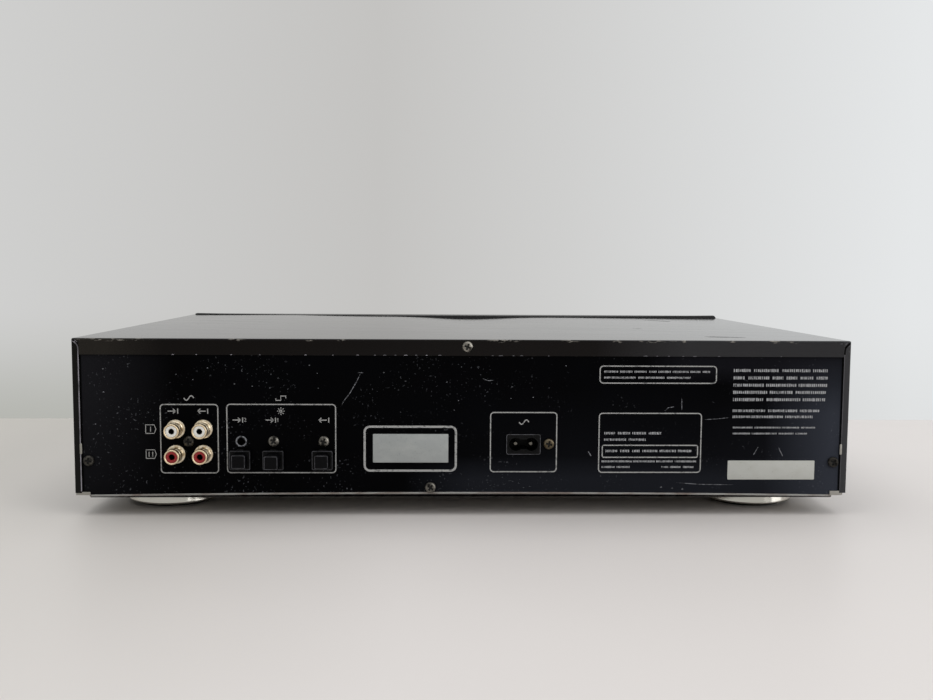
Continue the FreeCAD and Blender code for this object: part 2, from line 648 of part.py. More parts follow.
def rear_panel():
    """Flat sheet with the sockets' openings."""
    width = 2 * (WALL_X - SHEET_GAP)
    sheet = block(about(0, width), (PANEL_IN_Y, PANEL_Y), (PAN_TOP + SHEET_GAP, TOP_Z - COVER_T - SHEET_GAP))
    through = (PANEL_IN_Y - OVER, PANEL_Y + OVER)
    depth = through[1] - through[0]
    holes = [bar(SCREW_HOLE_R, (x, through[0], z), "y", depth)
             for x, z in rear_screw_places() + [EMPTY_HOLE, (TOP_SCREW_X, TOP_Z - TOP_SCREW_DOWN)]]
    holes += [bar(PHONO_HOLE_R, (x, through[0], z), "y", depth) for x in PHONO_X for z in PHONO_Z]
    holes += [block(about(x, OPTICAL_W + PRESS), through, about(OPTICAL_Z, OPTICAL_H + PRESS))
              for x in OPTICAL_X]
    holes.append(block(about(INLET_X, INLET_W + PRESS), through, about(INLET_Z, INLET_H + PRESS)))
    return sheet.cut(holes)


# ---- rear sockets ----
def phono_places():
    return [(x, z) for x in PHONO_X for z in PHONO_Z]


def phono_jack_block():
    """Moulded block on the main board, with four bosses in the rear panel's holes."""
    wide = (min(PHONO_X) - PHONO_BLOCK_MARGIN, max(PHONO_X) + PHONO_BLOCK_MARGIN)
    high = (BOARD_TOP, max(PHONO_Z) + PHONO_BLOCK_MARGIN)
    body = block(wide, (PANEL_IN_Y - PHONO_BLOCK_D, PANEL_IN_Y), high)
    bosses = [bar(PHONO_HOLE_R - PRESS / 2, (x, PANEL_IN_Y, z), "y", PANEL_T) for x, z in phono_places()]
    holes = [bar(PHONO_PIN_HOLE_R, (x, PANEL_IN_Y - PHONO_BLOCK_D / 2, z), "y", PHONO_BLOCK_D)
             for x, z in phono_places()]
    holes.append(bar(SCREW_R, (PHONO_SCREW[0], PANEL_Y - SCREW_L, PHONO_SCREW[1]), "y", SCREW_L))
    return joined([body] + bosses).cut(holes)


def phono_jack_shells():
    """Plated barrels, each with a flange against its boss."""
    shells = []
    for x, z in phono_places():
        barrel = bar(PHONO_R, (x, PANEL_Y, z), "y", PHONO_L + PHONO_FLANGE_T)
        flange = bar(PHONO_FLANGE_R, (x, PANEL_Y, z), "y", PHONO_FLANGE_T)
        bore = bar(PHONO_BORE_R, (x, PANEL_Y - OVER, z), "y", PHONO_L + PHONO_FLANGE_T + 2 * OVER)
        shells.append(joined([barrel, flange]).cut(bore))
    return shells


def phono_inserts(z):
    """Coloured plastic inside the barrels of one row."""
    length = PHONO_L + PHONO_FLANGE_T - PHONO_INSERT_IN
    return [bar(PHONO_BORE_R - INSERT_FIT, (x, PANEL_Y, z), "y", length).cut(
            bar(PHONO_PIN_HOLE_R, (x, PANEL_Y - OVER, z), "y", length + 2 * OVER)) for x in PHONO_X]


def square_bar(x, z, width, y):
    """A bar along Y of square section with its top corners cut."""
    half = width / 2
    outline = [(-half, -half), (half, -half), (half, half - CORNER_CUT), (half - CORNER_CUT, half),
               (CORNER_CUT - half, half), (-half, half - CORNER_CUT), (-half, -half)]
    wire = Part.makePolygon([Vector(x + dx, y[0], z + dz) for dx, dz in outline])
    return Part.Face(wire).extrude(Vector(0, y[1] - y[0], 0))


def optical_jacks():
    """Three moulded jacks on the main board, with collars through the rear panel."""
    jacks = []
    for x in OPTICAL_X:
        collar = block(about(x, OPTICAL_W), (PANEL_IN_Y, PANEL_Y + OPTICAL_COLLAR),
                       about(OPTICAL_Z, OPTICAL_H))
        body = block(about(x, OPTICAL_W + 2 * CORNER_CUT), (PANEL_IN_Y - OPTICAL_BACK, PANEL_IN_Y),
                     (BOARD_TOP, OPTICAL_Z + OPTICAL_H / 2 + CORNER_CUT))
        socket = square_bar(x, OPTICAL_Z, PLUG_W + 2 * PLUG_FIT,
                            (PANEL_IN_Y - OPTICAL_BACK + SOCKET_FLOOR, PANEL_Y + OPTICAL_COLLAR + OVER))
        screw_gap = [bar(SCREW_HOLE_R, (sx, PANEL_Y - SCREW_L - OVER, OPTICAL_SCREW_Z), "y", SCREW_L + OVER)
                     for sx in OPTICAL_SCREW_X]
        jacks.append(joined([collar, body]).cut([socket] + screw_gap))
    return jacks


def optical_dust_plug(number):
    """A square plug that pulls straight out of its jack."""
    x, out = OPTICAL_X[number], PLUG_OUT[number]
    nose = PANEL_IN_Y - OPTICAL_BACK + SOCKET_FLOOR + PLUG_NOSE_OUT + out - PLUG_IN
    plug = square_bar(x, OPTICAL_Z, PLUG_W, (nose, PANEL_Y + out))
    return plug.makeChamfer(PLUG_CHAMFER, [edge for edge in plug.Edges
                                  if edge.BoundBox.YMin > PANEL_Y + out - 0.01])


def lobes(radius, pitch, waist, y):
    """A figure-of-eight bar along Y around the mains inlet's axis."""
    length = y[1] - y[0]
    rounds = [bar(radius, (INLET_X + side * pitch / 2, y[0], INLET_Z), "y", length) for side in (-1, 1)]
    return joined(rounds + [block(about(INLET_X, pitch), y, about(INLET_Z, 2 * waist))])


def mains_inlet():
    """Moulded two-pole inlet, standing on the power board."""
    wide, tall = about(INLET_X, INLET_W), about(INLET_Z, INLET_H)
    body = block(wide, (PANEL_IN_Y - INLET_BACK, PANEL_Y + INLET_PROUD), tall)
    base = block(wide, (PANEL_IN_Y - INLET_BACK, PANEL_IN_Y - BOARD_REAR_GAP - PAN_T), (BOARD_TOP, tall[1]))
    ear = block((INLET_SCREW[0] - 2 * SCREW_HEAD_R + SCREW_R, wide[0] + OVER),
                (PANEL_IN_Y - INLET_EAR_T, PANEL_IN_Y), tall)
    mouth = lobes(INLET_LOBE_R, INLET_PITCH, INLET_WAIST,
                  (PANEL_Y + INLET_PROUD - INLET_DEEP, PANEL_Y + INLET_PROUD + OVER))
    thread = bar(SCREW_R, (INLET_SCREW[0], PANEL_Y - SCREW_L, INLET_SCREW[1]), "y", SCREW_L)
    return joined([body, base, ear]).cut([mouth, thread])


def mains_inlet_pins():
    start = PANEL_Y + INLET_PROUD - INLET_DEEP
    pins = []
    for side in (-1, 1):
        pin = bar(INLET_PIN_R, (INLET_X + side * INLET_PITCH / 2, start, INLET_Z), "y", INLET_PIN_L)
        pins.append(fillet(pin, INLET_PIN_EDGE, lambda box: box.YMin > start + INLET_PIN_L - TINY))
    return pins


# ---- boards, power supply ----
def main_board():
    board = block(MAIN_BOARD_X, (BOARD_REAR_Y - MAIN_BOARD_D, BOARD_REAR_Y), (MAIN_BOARD_Z, BOARD_TOP))
    return board.cut([bar(SCREW_R, (x, y, MAIN_BOARD_Z - OVER), "z", BOARD_T + 2 * OVER)
                      for x, y in board_corners(MAIN_BOARD_X, MAIN_BOARD_D)])


def power_board():
    board = block(POWER_BOARD_X, (BOARD_REAR_Y - POWER_BOARD_D, BOARD_REAR_Y), (MAIN_BOARD_Z, BOARD_TOP))
    return board.cut([bar(SCREW_R, (x, y, MAIN_BOARD_Z - OVER), "z", BOARD_T + 2 * OVER)
                      for x, y in board_corners(POWER_BOARD_X, POWER_BOARD_D)])


def board_chips():
    return [block(about(x, width), about(BOARD_REAR_Y - back, depth), span(BOARD_TOP, CHIP_T))
            for x, back, width, depth in CHIPS]


def board_capacitors():
    solids = []
    for x, back, radius, height in CAPACITORS:
        can = bar(radius, (x, BOARD_REAR_Y - back, BOARD_TOP), "z", height)
        solids.append(fillet(can, CAN_R, lambda box: box.ZMin > BOARD_TOP + height - TINY))
    return solids


def power_transformer():
    """Laminated core with mounting flanges, and its winding through the core's windows."""
    y = REAR_Y - TRANSFORMER_IN
    core = block(about(TRANSFORMER_X, CORE_W), about(y, CORE_D), span(PAN_TOP, CORE_H))
    flanges = block(about(TRANSFORMER_X, CORE_W + 2 * CORE_FLANGE), about(y, CORE_FLANGE_D),
                    span(PAN_TOP, CORE_FLANGE_T))
    winding_z = about(PAN_TOP + CORE_H / 2, COIL_H)
    winding = fillet(block(about(TRANSFORMER_X, COIL_W), about(y, COIL_D), winding_z), COIL_R,
                     lambda box: box.ZLength > COIL_H / 2)
    return [joined([core, flanges, winding])]


# ---- front panel and its controls ----
def controls():
    """Rotary controls on the display board: middle x, z and the bush's radius."""
    return [(DIAL_X, DIAL_Z), (RECORD_KNOB_X, LOW_ROW_Z), (PHONES_KNOB_X, LOW_ROW_Z)]


def button_places():
    """Name to (x, z, width, height, how far it stands out, travel)."""
    row = ["play", "pause", "stop", "record", "skip_back", "skip_forward"]
    places = {f"{name}_button": (BUTTON_ROW_X + BUTTON_PITCH * index, BUTTON_ROW_Z, BUTTON_W,
                                 BUTTON_H, BUTTON_PROUD, BUTTON_TRAVEL)
              for index, name in enumerate(row)}
    places["eject_button"] = (EJECT_X, SLOT_Z, EJECT_W, BUTTON_H, BUTTON_PROUD, BUTTON_TRAVEL)
    places["power_button"] = (POWER_X, BUTTON_ROW_Z, POWER_W, POWER_H, POWER_PROUD, POWER_TRAVEL)
    return places


def front_panel():
    """Moulded tray, open at the back, with its apertures, board posts and door ears."""
    low, high = FOOT_H - FRONT_DROP, TOP_Z + FRONT_LIP
    shell = block((-HALF_W, HALF_W), (FACE_Y, EDGE_Y), (low, high))
    shell = fillet(shell, FRONT_CORNER_R, lambda box: (
        box.YMax < FACE_Y + OVER and box.ZLength > box.XLength))
    shell = fillet(shell, FRONT_CORNER_R / 2, lambda box: (
        box.YMax < FACE_Y + FRONT_CORNER_R + OVER and box.XLength > CABINET_W / 2))
    inside = block(about(0, CABINET_W - 2 * RIM_T), (FACE_IN_Y, EDGE_Y + OVER), (low + RIM_T, high - RIM_T))
    shell = shell.cut(inside)
    posts = [bar(POST_R, (x, FACE_IN_Y, z), "y", BOARD_BEHIND_FACE) for x, z in post_places()]
    ears = []
    for side in (-1, 1):
        start = MECH_X + side * (SLOT_W / 2 - DOOR_SIDE_GAP + EAR_GAP)
        ear_x = sorted((start, start + side * EAR_T))
        ears.append(block(ear_x, (FACE_IN_Y, DOOR_AXIS_Y + DOOR_BARREL_R),
                          about(DOOR_AXIS_Z, 2 * DOOR_BARREL_R)))
    panel = joined([shell] + posts + ears)
    face = (FACE_Y - OVER, FACE_IN_Y + OVER)
    cuts = [rounded_slab(about(MECH_X, SLOT_W), face, about(SLOT_Z, SLOT_H), SLOT_R),
            block(about(WINDOW_X, WINDOW_W + 2 * WINDOW_FIT), face,
                  about(WINDOW_Z, WINDOW_H + 2 * WINDOW_FIT)),
            block(about(TIMER_X, TIMER_W + 2 * (TIMER_TRAVEL + CONTROL_GAP)), face,
                  about(LOW_ROW_Z, TIMER_H + 2 * CONTROL_GAP)),
            bar(JACK_RING_R, (JACK_X, face[0], LOW_ROW_Z), "y", FACE_T + 2 * OVER),
            bar(DOOR_PIN_R, (MECH_X - SLOT_W, DOOR_AXIS_Y, DOOR_AXIS_Z), "x", 2 * SLOT_W)]
    cuts += [rounded_slab(about(x, width + 2 * CONTROL_GAP), face, about(z, height + 2 * CONTROL_GAP),
                          BUTTON_R) for x, z, width, height, _, _ in button_places().values()]
    cuts += [bar(STEM_R + STEM_FIT + BUSH_WALL + CONTROL_GAP, (x, face[0], z), "y", FACE_T + 2 * OVER)
             for x, z in controls()]
    return panel.cut(cuts)


def post_places():
    """Posts between the front face and the display board."""
    low = FOOT_H + BOARD_LIFT + POST_R + OVER
    high = TOP_Z - BOARD_DOWN - POST_R - OVER
    edge = HALF_W - BOARD_EDGE - POST_R - OVER
    return [(-edge, low), (MECH_X, low), (edge, low), (BOARD_TALL_X + POST_R + OVER, high), (edge, high)]


def display_board():
    """Board behind the front face: a low strip, and a tall part behind the display."""
    edge = HALF_W - BOARD_EDGE
    bottom = FOOT_H + BOARD_LIFT
    strip = block((-edge, edge), span(BOARD_Y, BOARD_T), (bottom, FOOT_H + BOARD_LOW_TOP))
    tall = block((BOARD_TALL_X, edge), span(BOARD_Y, BOARD_T), (bottom, TOP_Z - BOARD_DOWN))
    room = JACK_BODY_W + 2 * CONTROL_GAP
    jack_room = block(about(JACK_X, room), span(BOARD_Y - OVER, BOARD_T + 2 * OVER), about(LOW_ROW_Z, room))
    return joined([strip, tall]).cut(jack_room)


def display_window():
    """Clear window with a flange behind the face."""
    wide, tall = about(WINDOW_X, WINDOW_W), about(WINDOW_Z, WINDOW_H)
    pane = block(wide, (FACE_IN_Y - WINDOW_T, FACE_IN_Y), tall)
    flange = block(about(WINDOW_X, WINDOW_W + 2 * WINDOW_FLANGE), span(FACE_IN_Y, WINDOW_FLANGE_T),
                   about(WINDOW_Z, WINDOW_H + 2 * WINDOW_FLANGE))
    return joined([pane, flange])


def display_tube():
    return block(about(WINDOW_X, TUBE_W), (BOARD_Y - TUBE_T, BOARD_Y), about(WINDOW_Z, TUBE_H))


def pressed_button(name):
    """A cap through the face, a flange behind it and a post to its switch."""
    x, z, width, height, proud, travel = button_places()[name]
    cap = rounded_slab(about(x, width), (FACE_Y - proud, FACE_IN_Y + CONTROL_GAP), about(z, height), BUTTON_R)
    cap = fillet(cap, SOFT_EDGE, lambda box: box.YMax < FACE_Y - proud + TINY)
    flange = block(about(x, width + 2 * BUTTON_FLANGE), span(FACE_IN_Y + CONTROL_GAP, BUTTON_FLANGE_T),
                   about(z, height + 2 * BUTTON_FLANGE))
    tip = BOARD_Y - SWITCH_H - PLUNGER_H - PLUNGER_GAP - travel + BUTTON_TRAVEL
    post = block(about(x, 2 * POST_HALF), (FACE_IN_Y, tip), about(z, 2 * POST_HALF))
    return joined([cap, flange, post])


def board_switches():
    """One push switch behind each button, and the timer's slide switch."""
    switches = []
    for x, z, _, _, _, _ in button_places().values():
        body = block(about(x, SWITCH_W), (BOARD_Y - SWITCH_H, BOARD_Y), about(z, SWITCH_W))
        plunger = bar(PLUNGER_R, (x, BOARD_Y - SWITCH_H - PLUNGER_H, z), "y", PLUNGER_H)
        switches.append(joined([body, plunger]))
    switches.append(block(about(TIMER_X, 3 * TIMER_W + 2 * TIMER_TRAVEL), (BOARD_Y - TIMER_SWITCH_H, BOARD_Y),
                          about(LOW_ROW_Z, SWITCH_W)))
    return switches


def rotary_controls():
    """The jog dial's encoder and the two level controls, each with its bush."""
    solids = []
    bush_r = STEM_R + STEM_FIT + BUSH_WALL
    for x, z in controls():
        body = block(about(x, CONTROL_W), (BOARD_Y - CONTROL_H, BOARD_Y), about(z, CONTROL_W))
        bush = bar(bush_r, (x, FACE_Y + BUSH_FACE_GAP, z), "y", BOARD_Y - CONTROL_H - FACE_Y - BUSH_FACE_GAP)
        hollow = bar(STEM_R + STEM_FIT, (x, FACE_Y, z), "y", BOARD_Y - FACE_Y - STEM_FLOOR)
        solids.append(joined([body, bush]).cut(hollow))
    return solids


def knob(x, z, radius, length):
    """A knob on the stem that turns in its control's bush."""
    front = FACE_Y - KNOB_FACE_GAP - length
    body = bar(radius, (x, front, z), "y", length)
    body = fillet(body, KNOB_EDGE, lambda box: box.YMax < front + TINY)
    stem_end = BOARD_Y - STEM_FLOOR - CONTROL_GAP
    stem = bar(STEM_R, (x, FACE_Y - KNOB_FACE_GAP, z), "y", stem_end - FACE_Y + KNOB_FACE_GAP)
    return joined([body, stem])


def jog_dial():
    """Wide dial with a finger dimple and a raised rim of grip ribs."""
    dial = knob(DIAL_X, DIAL_Z, DIAL_R, DIAL_L)
    front = FACE_Y - KNOB_FACE_GAP - DIAL_L
    sphere_r = (DIMPLE_R ** 2 + DIMPLE_DEEP ** 2) / (2 * DIMPLE_DEEP)
    centre = Vector(DIAL_X, front + DIMPLE_DEEP - sphere_r, DIAL_Z + DIMPLE_OFF)
    return dial.cut(Part.makeSphere(sphere_r, centre))


def level_knob(x):
    """Small knob with a pointer groove."""
    front = FACE_Y - KNOB_FACE_GAP - KNOB_L
    groove = block(about(x, MARK_W), (front - OVER, front + MARK_DEEP),
                   (LOW_ROW_Z + MARK_W, LOW_ROW_Z + KNOB_R + OVER))
    return knob(x, LOW_ROW_Z, KNOB_R, KNOB_L).cut(groove)


def timer_switch():
    """Slide switch lever with a flange behind its slot."""
    lever = block(about(TIMER_X, TIMER_W), (FACE_Y - TIMER_PROUD, FACE_IN_Y + CONTROL_GAP),
                  about(LOW_ROW_Z, TIMER_H))
    lever = fillet(lever, SOFT_EDGE, lambda box: box.YMax < FACE_Y - TIMER_PROUD + TINY)
    flange = block(about(TIMER_X, TIMER_W + 4 * TIMER_TRAVEL + 2 * TIMER_FLANGE_LAP),
                   (FACE_IN_Y + CONTROL_GAP, BOARD_Y - TIMER_SWITCH_H - CONTROL_GAP),
                   about(LOW_ROW_Z, TIMER_H + 2 * TIMER_FLANGE_LAP))
    return joined([lever, flange])


def headphone_jack():
    """Jack with a ring through the face, its body passing the display board."""
    front = FACE_Y - JACK_RING_PROUD
    ring = bar(JACK_RING_R - PRESS / 2, (JACK_X, front, LOW_ROW_Z), "y", FACE_IN_Y - front)
    body = block(about(JACK_X, JACK_BODY_W), (FACE_IN_Y, front + JACK_L + JACK_FLOOR),
                 about(LOW_ROW_Z, JACK_BODY_W))
    bore = bar(JACK_BORE_R, (JACK_X, front - OVER, LOW_ROW_Z), "y", JACK_L + OVER)
    jack = joined([ring, body]).cut(bore)
    return fillet(jack, SOFT_EDGE, lambda box: (
        box.YMax < front + TINY and box.XLength > JACK_BORE_R + JACK_RING_R))


# ---- cartridge door, holder and cam ----
def slot_door():
    """Flap hung behind the slot from a barrel on its pin."""
    width = SLOT_W - 2 * DOOR_SIDE_GAP
    plate = block(about(MECH_X, width), span(DOOR_AXIS_Y - DOOR_BARREL_R, DOOR_T),
                  (DOOR_AXIS_Z - DOOR_L, DOOR_AXIS_Z))
    barrel = bar(DOOR_BARREL_R, (MECH_X - width / 2, DOOR_AXIS_Y, DOOR_AXIS_Z), "x", width)
    bore = bar(DOOR_PIN_R + DOOR_PIN_FIT, (MECH_X - width, DOOR_AXIS_Y, DOOR_AXIS_Z), "x", 2 * width)
    return joined([plate, barrel]).cut(bore)


def slot_door_pin():
    reach = SLOT_W / 2 - DOOR_SIDE_GAP + EAR_GAP + EAR_T
    return bar(DOOR_PIN_R, (MECH_X - reach, DOOR_AXIS_Y, DOOR_AXIS_Z), "x", 2 * reach)


def cartridge_holder():
    """Sheet channel round the cartridge, with four pins that ride in the cam plates."""
    outer = HOLDER_IN_W + HOLDER_T
    deep = span(HOLDER_Y, HOLDER_L)
    body = block(about(MECH_X, 2 * outer), deep, (SLOT_Z - HOLDER_IN_H - HOLDER_T, HOLDER_TOP))
    hollow = block(about(MECH_X, 2 * HOLDER_IN_W), (deep[0] - OVER, deep[1] - HOLDER_T),
                   about(SLOT_Z, 2 * HOLDER_IN_H))
    below = block(about(MECH_X, 2 * (HOLDER_IN_W - HOLDER_RAIL_W)), (deep[0] - OVER, deep[1] - HOLDER_T),
                  (SLOT_Z - HOLDER_IN_H - HOLDER_T - OVER, SLOT_Z))
    lens_gap = block((MECH_X, MECH_X + HOLDER_IN_W), about(DISC_Y, 2 * LENS_NOTCH),
                     (SLOT_Z - HOLDER_IN_H - HOLDER_T - OVER, SLOT_Z))
    head_gap = block((LENS_X - HEAD_W, MECH_X + SLED_LAST + HEAD_W / 2 + CONTROL_GAP),
                     (DISC_Y - HEAD_WINDOW, DISC_Y + HEAD_WINDOW), (SLOT_Z, HOLDER_TOP + OVER))
    body = body.cut([hollow, below, lens_gap, head_gap])
    pin_reach = BASE_HALF_W - outer
    pins = []
    for y in PIN_Y:
        pins += [bar(CAM_PIN_R, (MECH_X - BASE_HALF_W, y, SLOT_Z), "x", pin_reach),
                 bar(CAM_PIN_R, (MECH_X + outer, y, SLOT_Z), "x", pin_reach)]
    return joined([body] + pins)


def cam_slider():
    """Two cam plates with sloping slots, a rear bridge and the rack that drives them."""
    front = PIN_Y[0] - CAM_TRAVEL - 2 * CAM_SLOT_R
    rear = HOLDER_Y + HOLDER_L + HEAD_POST_GAP + 2 * HEAD_POST_T + CAM_BRIDGE_D
    low, high = SLOT_Z - CAM_LOW, SLOT_Z + CAM_HIGH
    pieces, slots = [], []
    for side in (-1, 1):
        plate_x = sorted((MECH_X + side * CAM_X, MECH_X + side * (CAM_X + CAM_T)))
        pieces.append(block(plate_x, (front, rear), (low, high)))
        slots += [slot_bar(CAM_SLOT_R, (y, SLOT_Z), (y - CAM_TRAVEL, SLOT_Z - HOLDER_DROP),
                           plate_x[0] - OVER, CAM_T + 2 * OVER) for y in PIN_Y]
    pieces.append(block(about(MECH_X, 2 * CAM_X), (rear - CAM_BRIDGE_D, rear), span(low, CAM_T)))
    plate_left = MECH_X - CAM_X - CAM_T
    rack_y = (WHEEL_Y - CAM_TRAVEL - RACK_SPARE, WHEEL_Y + RACK_SPARE)
    pieces.append(block((plate_left - RACK_W + RACK_ROOT + DEDENDUM * RACK_MODULE, plate_left + CAM_T),
                        rack_y, (RACK_Z, RACK_Z + RACK_H)))
    pieces.append(block((plate_left, plate_left + CAM_T), rack_y, (RACK_Z, low + OVER)))
    return joined(pieces + rack_teeth(rack_y)).cut(slots)


def rack_teeth(rack_y):
    """Straight-sided teeth facing the pinion, with a gap in line with its middle."""
    pitch = math.pi * RACK_MODULE
    slope = math.tan(math.radians(PRESSURE_ANGLE))
    root_x = RACK_LINE_X + DEDENDUM * RACK_MODULE + PINION_GAP
    tip_x = RACK_LINE_X - ADDENDUM * RACK_MODULE
    half = pitch / 4 - BACKLASH / 4
    teeth = []
    count = int((rack_y[1] - rack_y[0]) / pitch)
    for step in range(-count, count):
        y = WHEEL_Y + pitch * (step + 0.5)
        if rack_y[0] + pitch / 2 < y < rack_y[1] - pitch / 2:
            root = half + (root_x - RACK_LINE_X) * slope
            tip = half + (tip_x - RACK_LINE_X) * slope
            corners = [(root_x, y - root), (root_x, y + root), (tip_x, y + tip), (tip_x, y - tip)]
            wire = Part.makePolygon([Vector(cx, cy, RACK_Z) for cx, cy in corners + corners[:1]])
            teeth.append(Part.Face(wire).extrude(Vector(0, 0, RACK_H)))
    return teeth


def loading_gear():
    """Wheel driven by the motor, with the small pinion that moves the rack."""
    low = BASE_TOP + WHEEL_LIFT
    wheel = gear(WHEEL_TEETH, DRIVE_MODULE, (WHEEL_X, WHEEL_Y, low), WHEEL_T)
    pinion = gear(RACK_PINION_TEETH, RACK_MODULE, (WHEEL_X, WHEEL_Y, low), WHEEL_T + PINION_GAP + RACK_H)
    bore = bar(GEAR_AXLE_R + GEAR_BORE_FIT, (WHEEL_X, WHEEL_Y, BASE_Z), "z", RACK_Z + RACK_H - BASE_Z + OVER)
    return wheel.fuse(pinion).cut(bore)


def motor_pinion():
    low = BASE_TOP + WHEEL_LIFT / 2
    pinion = gear(MOTOR_TEETH, DRIVE_MODULE, (MOTOR_GEAR_X, WHEEL_Y, low), MOTOR_GEAR_T,
                  math.pi / MOTOR_TEETH)
    shaft = bar(MOTOR_SHAFT_R, (MOTOR_GEAR_X, WHEEL_Y, low), "z", TABLE_Z + MOTOR_TABLE_T + WHEEL_LIFT - low)
    return pinion.fuse(shaft)


def loading_motor():
    """Motor on its table; its shaft turns in the short bore below."""
    motor = bar(LOAD_MOTOR_R, (MOTOR_GEAR_X, WHEEL_Y, TABLE_Z + MOTOR_TABLE_T), "z", LOAD_MOTOR_H)
    motor = fillet(motor, MOTOR_EDGE_R, lambda box: box.ZMin > TABLE_Z + LOAD_MOTOR_H)
    bore = bar(MOTOR_SHAFT_R + SHAFT_FIT, (MOTOR_GEAR_X, WHEEL_Y, TABLE_Z), "z", LOAD_MOTOR_H / 2)
    return motor.cut(bore)


# ---- disc mechanism ----
def bracket_places():
    """Dampers between the mechanism and its bracket."""
    x_low, x_high = TABLE_LEFT, MECH_X + BASE_HALF_W
    inset = DAMPER_R + OVER
    return [(x, y) for x in (x_low + inset, x_high - inset) for y in (BASE_Y[0] + inset, BASE_Y[1] - inset)]


def mech_bracket():
    """Bridge over the pan that carries the mechanism on its dampers."""
    top = BASE_Z - DAMPER_H
    x = (TABLE_LEFT, MECH_X + BASE_HALF_W)
    y = (EDGE_Y + 2 * PAN_T + OVER, BASE_Y[1])
    plate = block(x, y, (top - BRACKET_T, top))
    pieces = [plate]
    for edge, out in ((x[0], -1), (x[1], 1)):
        leg = sorted((edge, edge - out * BRACKET_T))
        flange = sorted((edge, edge + out * BRACKET_FOOT_W))
        pieces += [block(leg, y, (PAN_TOP, top)), block(flange, y, span(PAN_TOP, BRACKET_T)),
                   block(leg, y, span(PAN_TOP, BRACKET_T))]
    middle = block((x[0] + BRACKET_FRAME_W, x[1] - BRACKET_FRAME_W),
                   (y[0] + BRACKET_FRAME_W, y[1] - BRACKET_FRAME_W), (top - 2 * BRACKET_T, top + OVER))
    holes = [bar(DAMPER_HOLE_R, (px, py, top - BRACKET_T - OVER), "z", BRACKET_T + 2 * OVER)
             for px, py in bracket_places()]
    return joined(pieces).cut([middle] + holes)


def mech_dampers():
    """Rubber rings with a waist."""
    rings = []
    for x, y in bracket_places():
        ring = bar(DAMPER_R, (x, y, BASE_Z - DAMPER_H), "z", DAMPER_H)
        waist = bar(DAMPER_R + OVER, (x, y, BASE_Z - 2 * DAMPER_H / 3), "z", DAMPER_H / 3)
        waist = waist.cut(bar(DAMPER_R - OVER, (x, y, BASE_Z - DAMPER_H), "z", DAMPER_H))
        rings.append(ring.cut([waist, bar(DAMPER_HOLE_R, (x, y, BASE_Z - DAMPER_H), "z", DAMPER_H)]))
    return rings


def mech_chassis():
    """Base plate with the slotted uprights, rod tabs, gear axle and motor table."""
    base = block((TABLE_LEFT, MECH_X + BASE_HALF_W), BASE_Y, (BASE_Z, BASE_TOP))
    pieces = [base]
    for side in (-1, 1):
        wall = sorted((MECH_X + side * BASE_HALF_W, MECH_X + side * (BASE_HALF_W - WALL_T)))
        pieces += [block(wall, about(y, 2 * WALL_HALF_D), (BASE_Z, SLOT_Z + WALL_UP)) for y in PIN_Y]
    for y in (DISC_Y - ROD_HALF_PITCH, DISC_Y + ROD_HALF_PITCH):
        for x in (MECH_X - ROD_LEFT, MECH_X + ROD_RIGHT - TAB_T):
            pieces.append(block(span(x, TAB_T), about(y, 2 * TAB_HALF), (BASE_Z, ROD_AXIS_Z + TAB_HALF)))
    pieces.append(block(span(MECH_X + BASE_HALF_W - SCREW_TAB_IN, TAB_T), about(SCREW_Y, 2 * TAB_HALF),
                        (BASE_Z, ROD_AXIS_Z + TAB_HALF)))
    pieces.append(bar(GEAR_AXLE_R, (WHEEL_X, WHEEL_Y, BASE_Z), "z", RACK_Z + RACK_H - BASE_Z))
    table_x = (TABLE_LEFT, MOTOR_GEAR_X + LOAD_MOTOR_R)
    table_y = about(WHEEL_Y, 2 * LOAD_MOTOR_R)
    pieces += [block(table_x, table_y, span(TABLE_Z, MOTOR_TABLE_T)),
               block(span(TABLE_LEFT, MOTOR_TABLE_T), table_y, (BASE_Z, TABLE_Z + MOTOR_TABLE_T))]
    cuts = []
    for y in PIN_Y:
        cuts.append(slot_bar(CAM_SLOT_R, (y, SLOT_Z - HOLDER_DROP), (y, SLOT_Z),
                             MECH_X - BASE_HALF_W - OVER, 2 * BASE_HALF_W + 2 * OVER))
    cuts += [bar(ROD_R, (MECH_X - ROD_LEFT, y, ROD_AXIS_Z), "x", ROD_LEFT + ROD_RIGHT)
             for y in (DISC_Y - ROD_HALF_PITCH, DISC_Y + ROD_HALF_PITCH)]
    cuts.append(bar(LEAD_SCREW_R + LEAD_FIT, (MECH_X, SCREW_Y, ROD_AXIS_Z), "x", BASE_HALF_W))
    cuts.append(bar(MOTOR_SHAFT_R + CONTROL_GAP, (MOTOR_GEAR_X, WHEEL_Y, TABLE_Z - OVER), "z",
                    MOTOR_TABLE_T + 2 * OVER))
    cuts += [bar(DAMPER_HOLE_R, (x, y, BASE_Z - OVER), "z", BASE_T + 2 * OVER) for x, y in bracket_places()]
    return joined(pieces).cut(cuts)


def spindle_motor():
    """Flat motor below the disc, with its shaft's bore."""
    motor = bar(SPINDLE_R, (MECH_X, DISC_Y, BASE_TOP), "z", SPINDLE_H)
    motor = fillet(motor, MOTOR_EDGE_R, lambda box: box.ZMin > BASE_TOP + SPINDLE_H - TINY)
    return motor.cut(bar(SPINDLE_SHAFT_R + SHAFT_FIT, (MECH_X, DISC_Y, BASE_TOP + OVER), "z", SPINDLE_H))


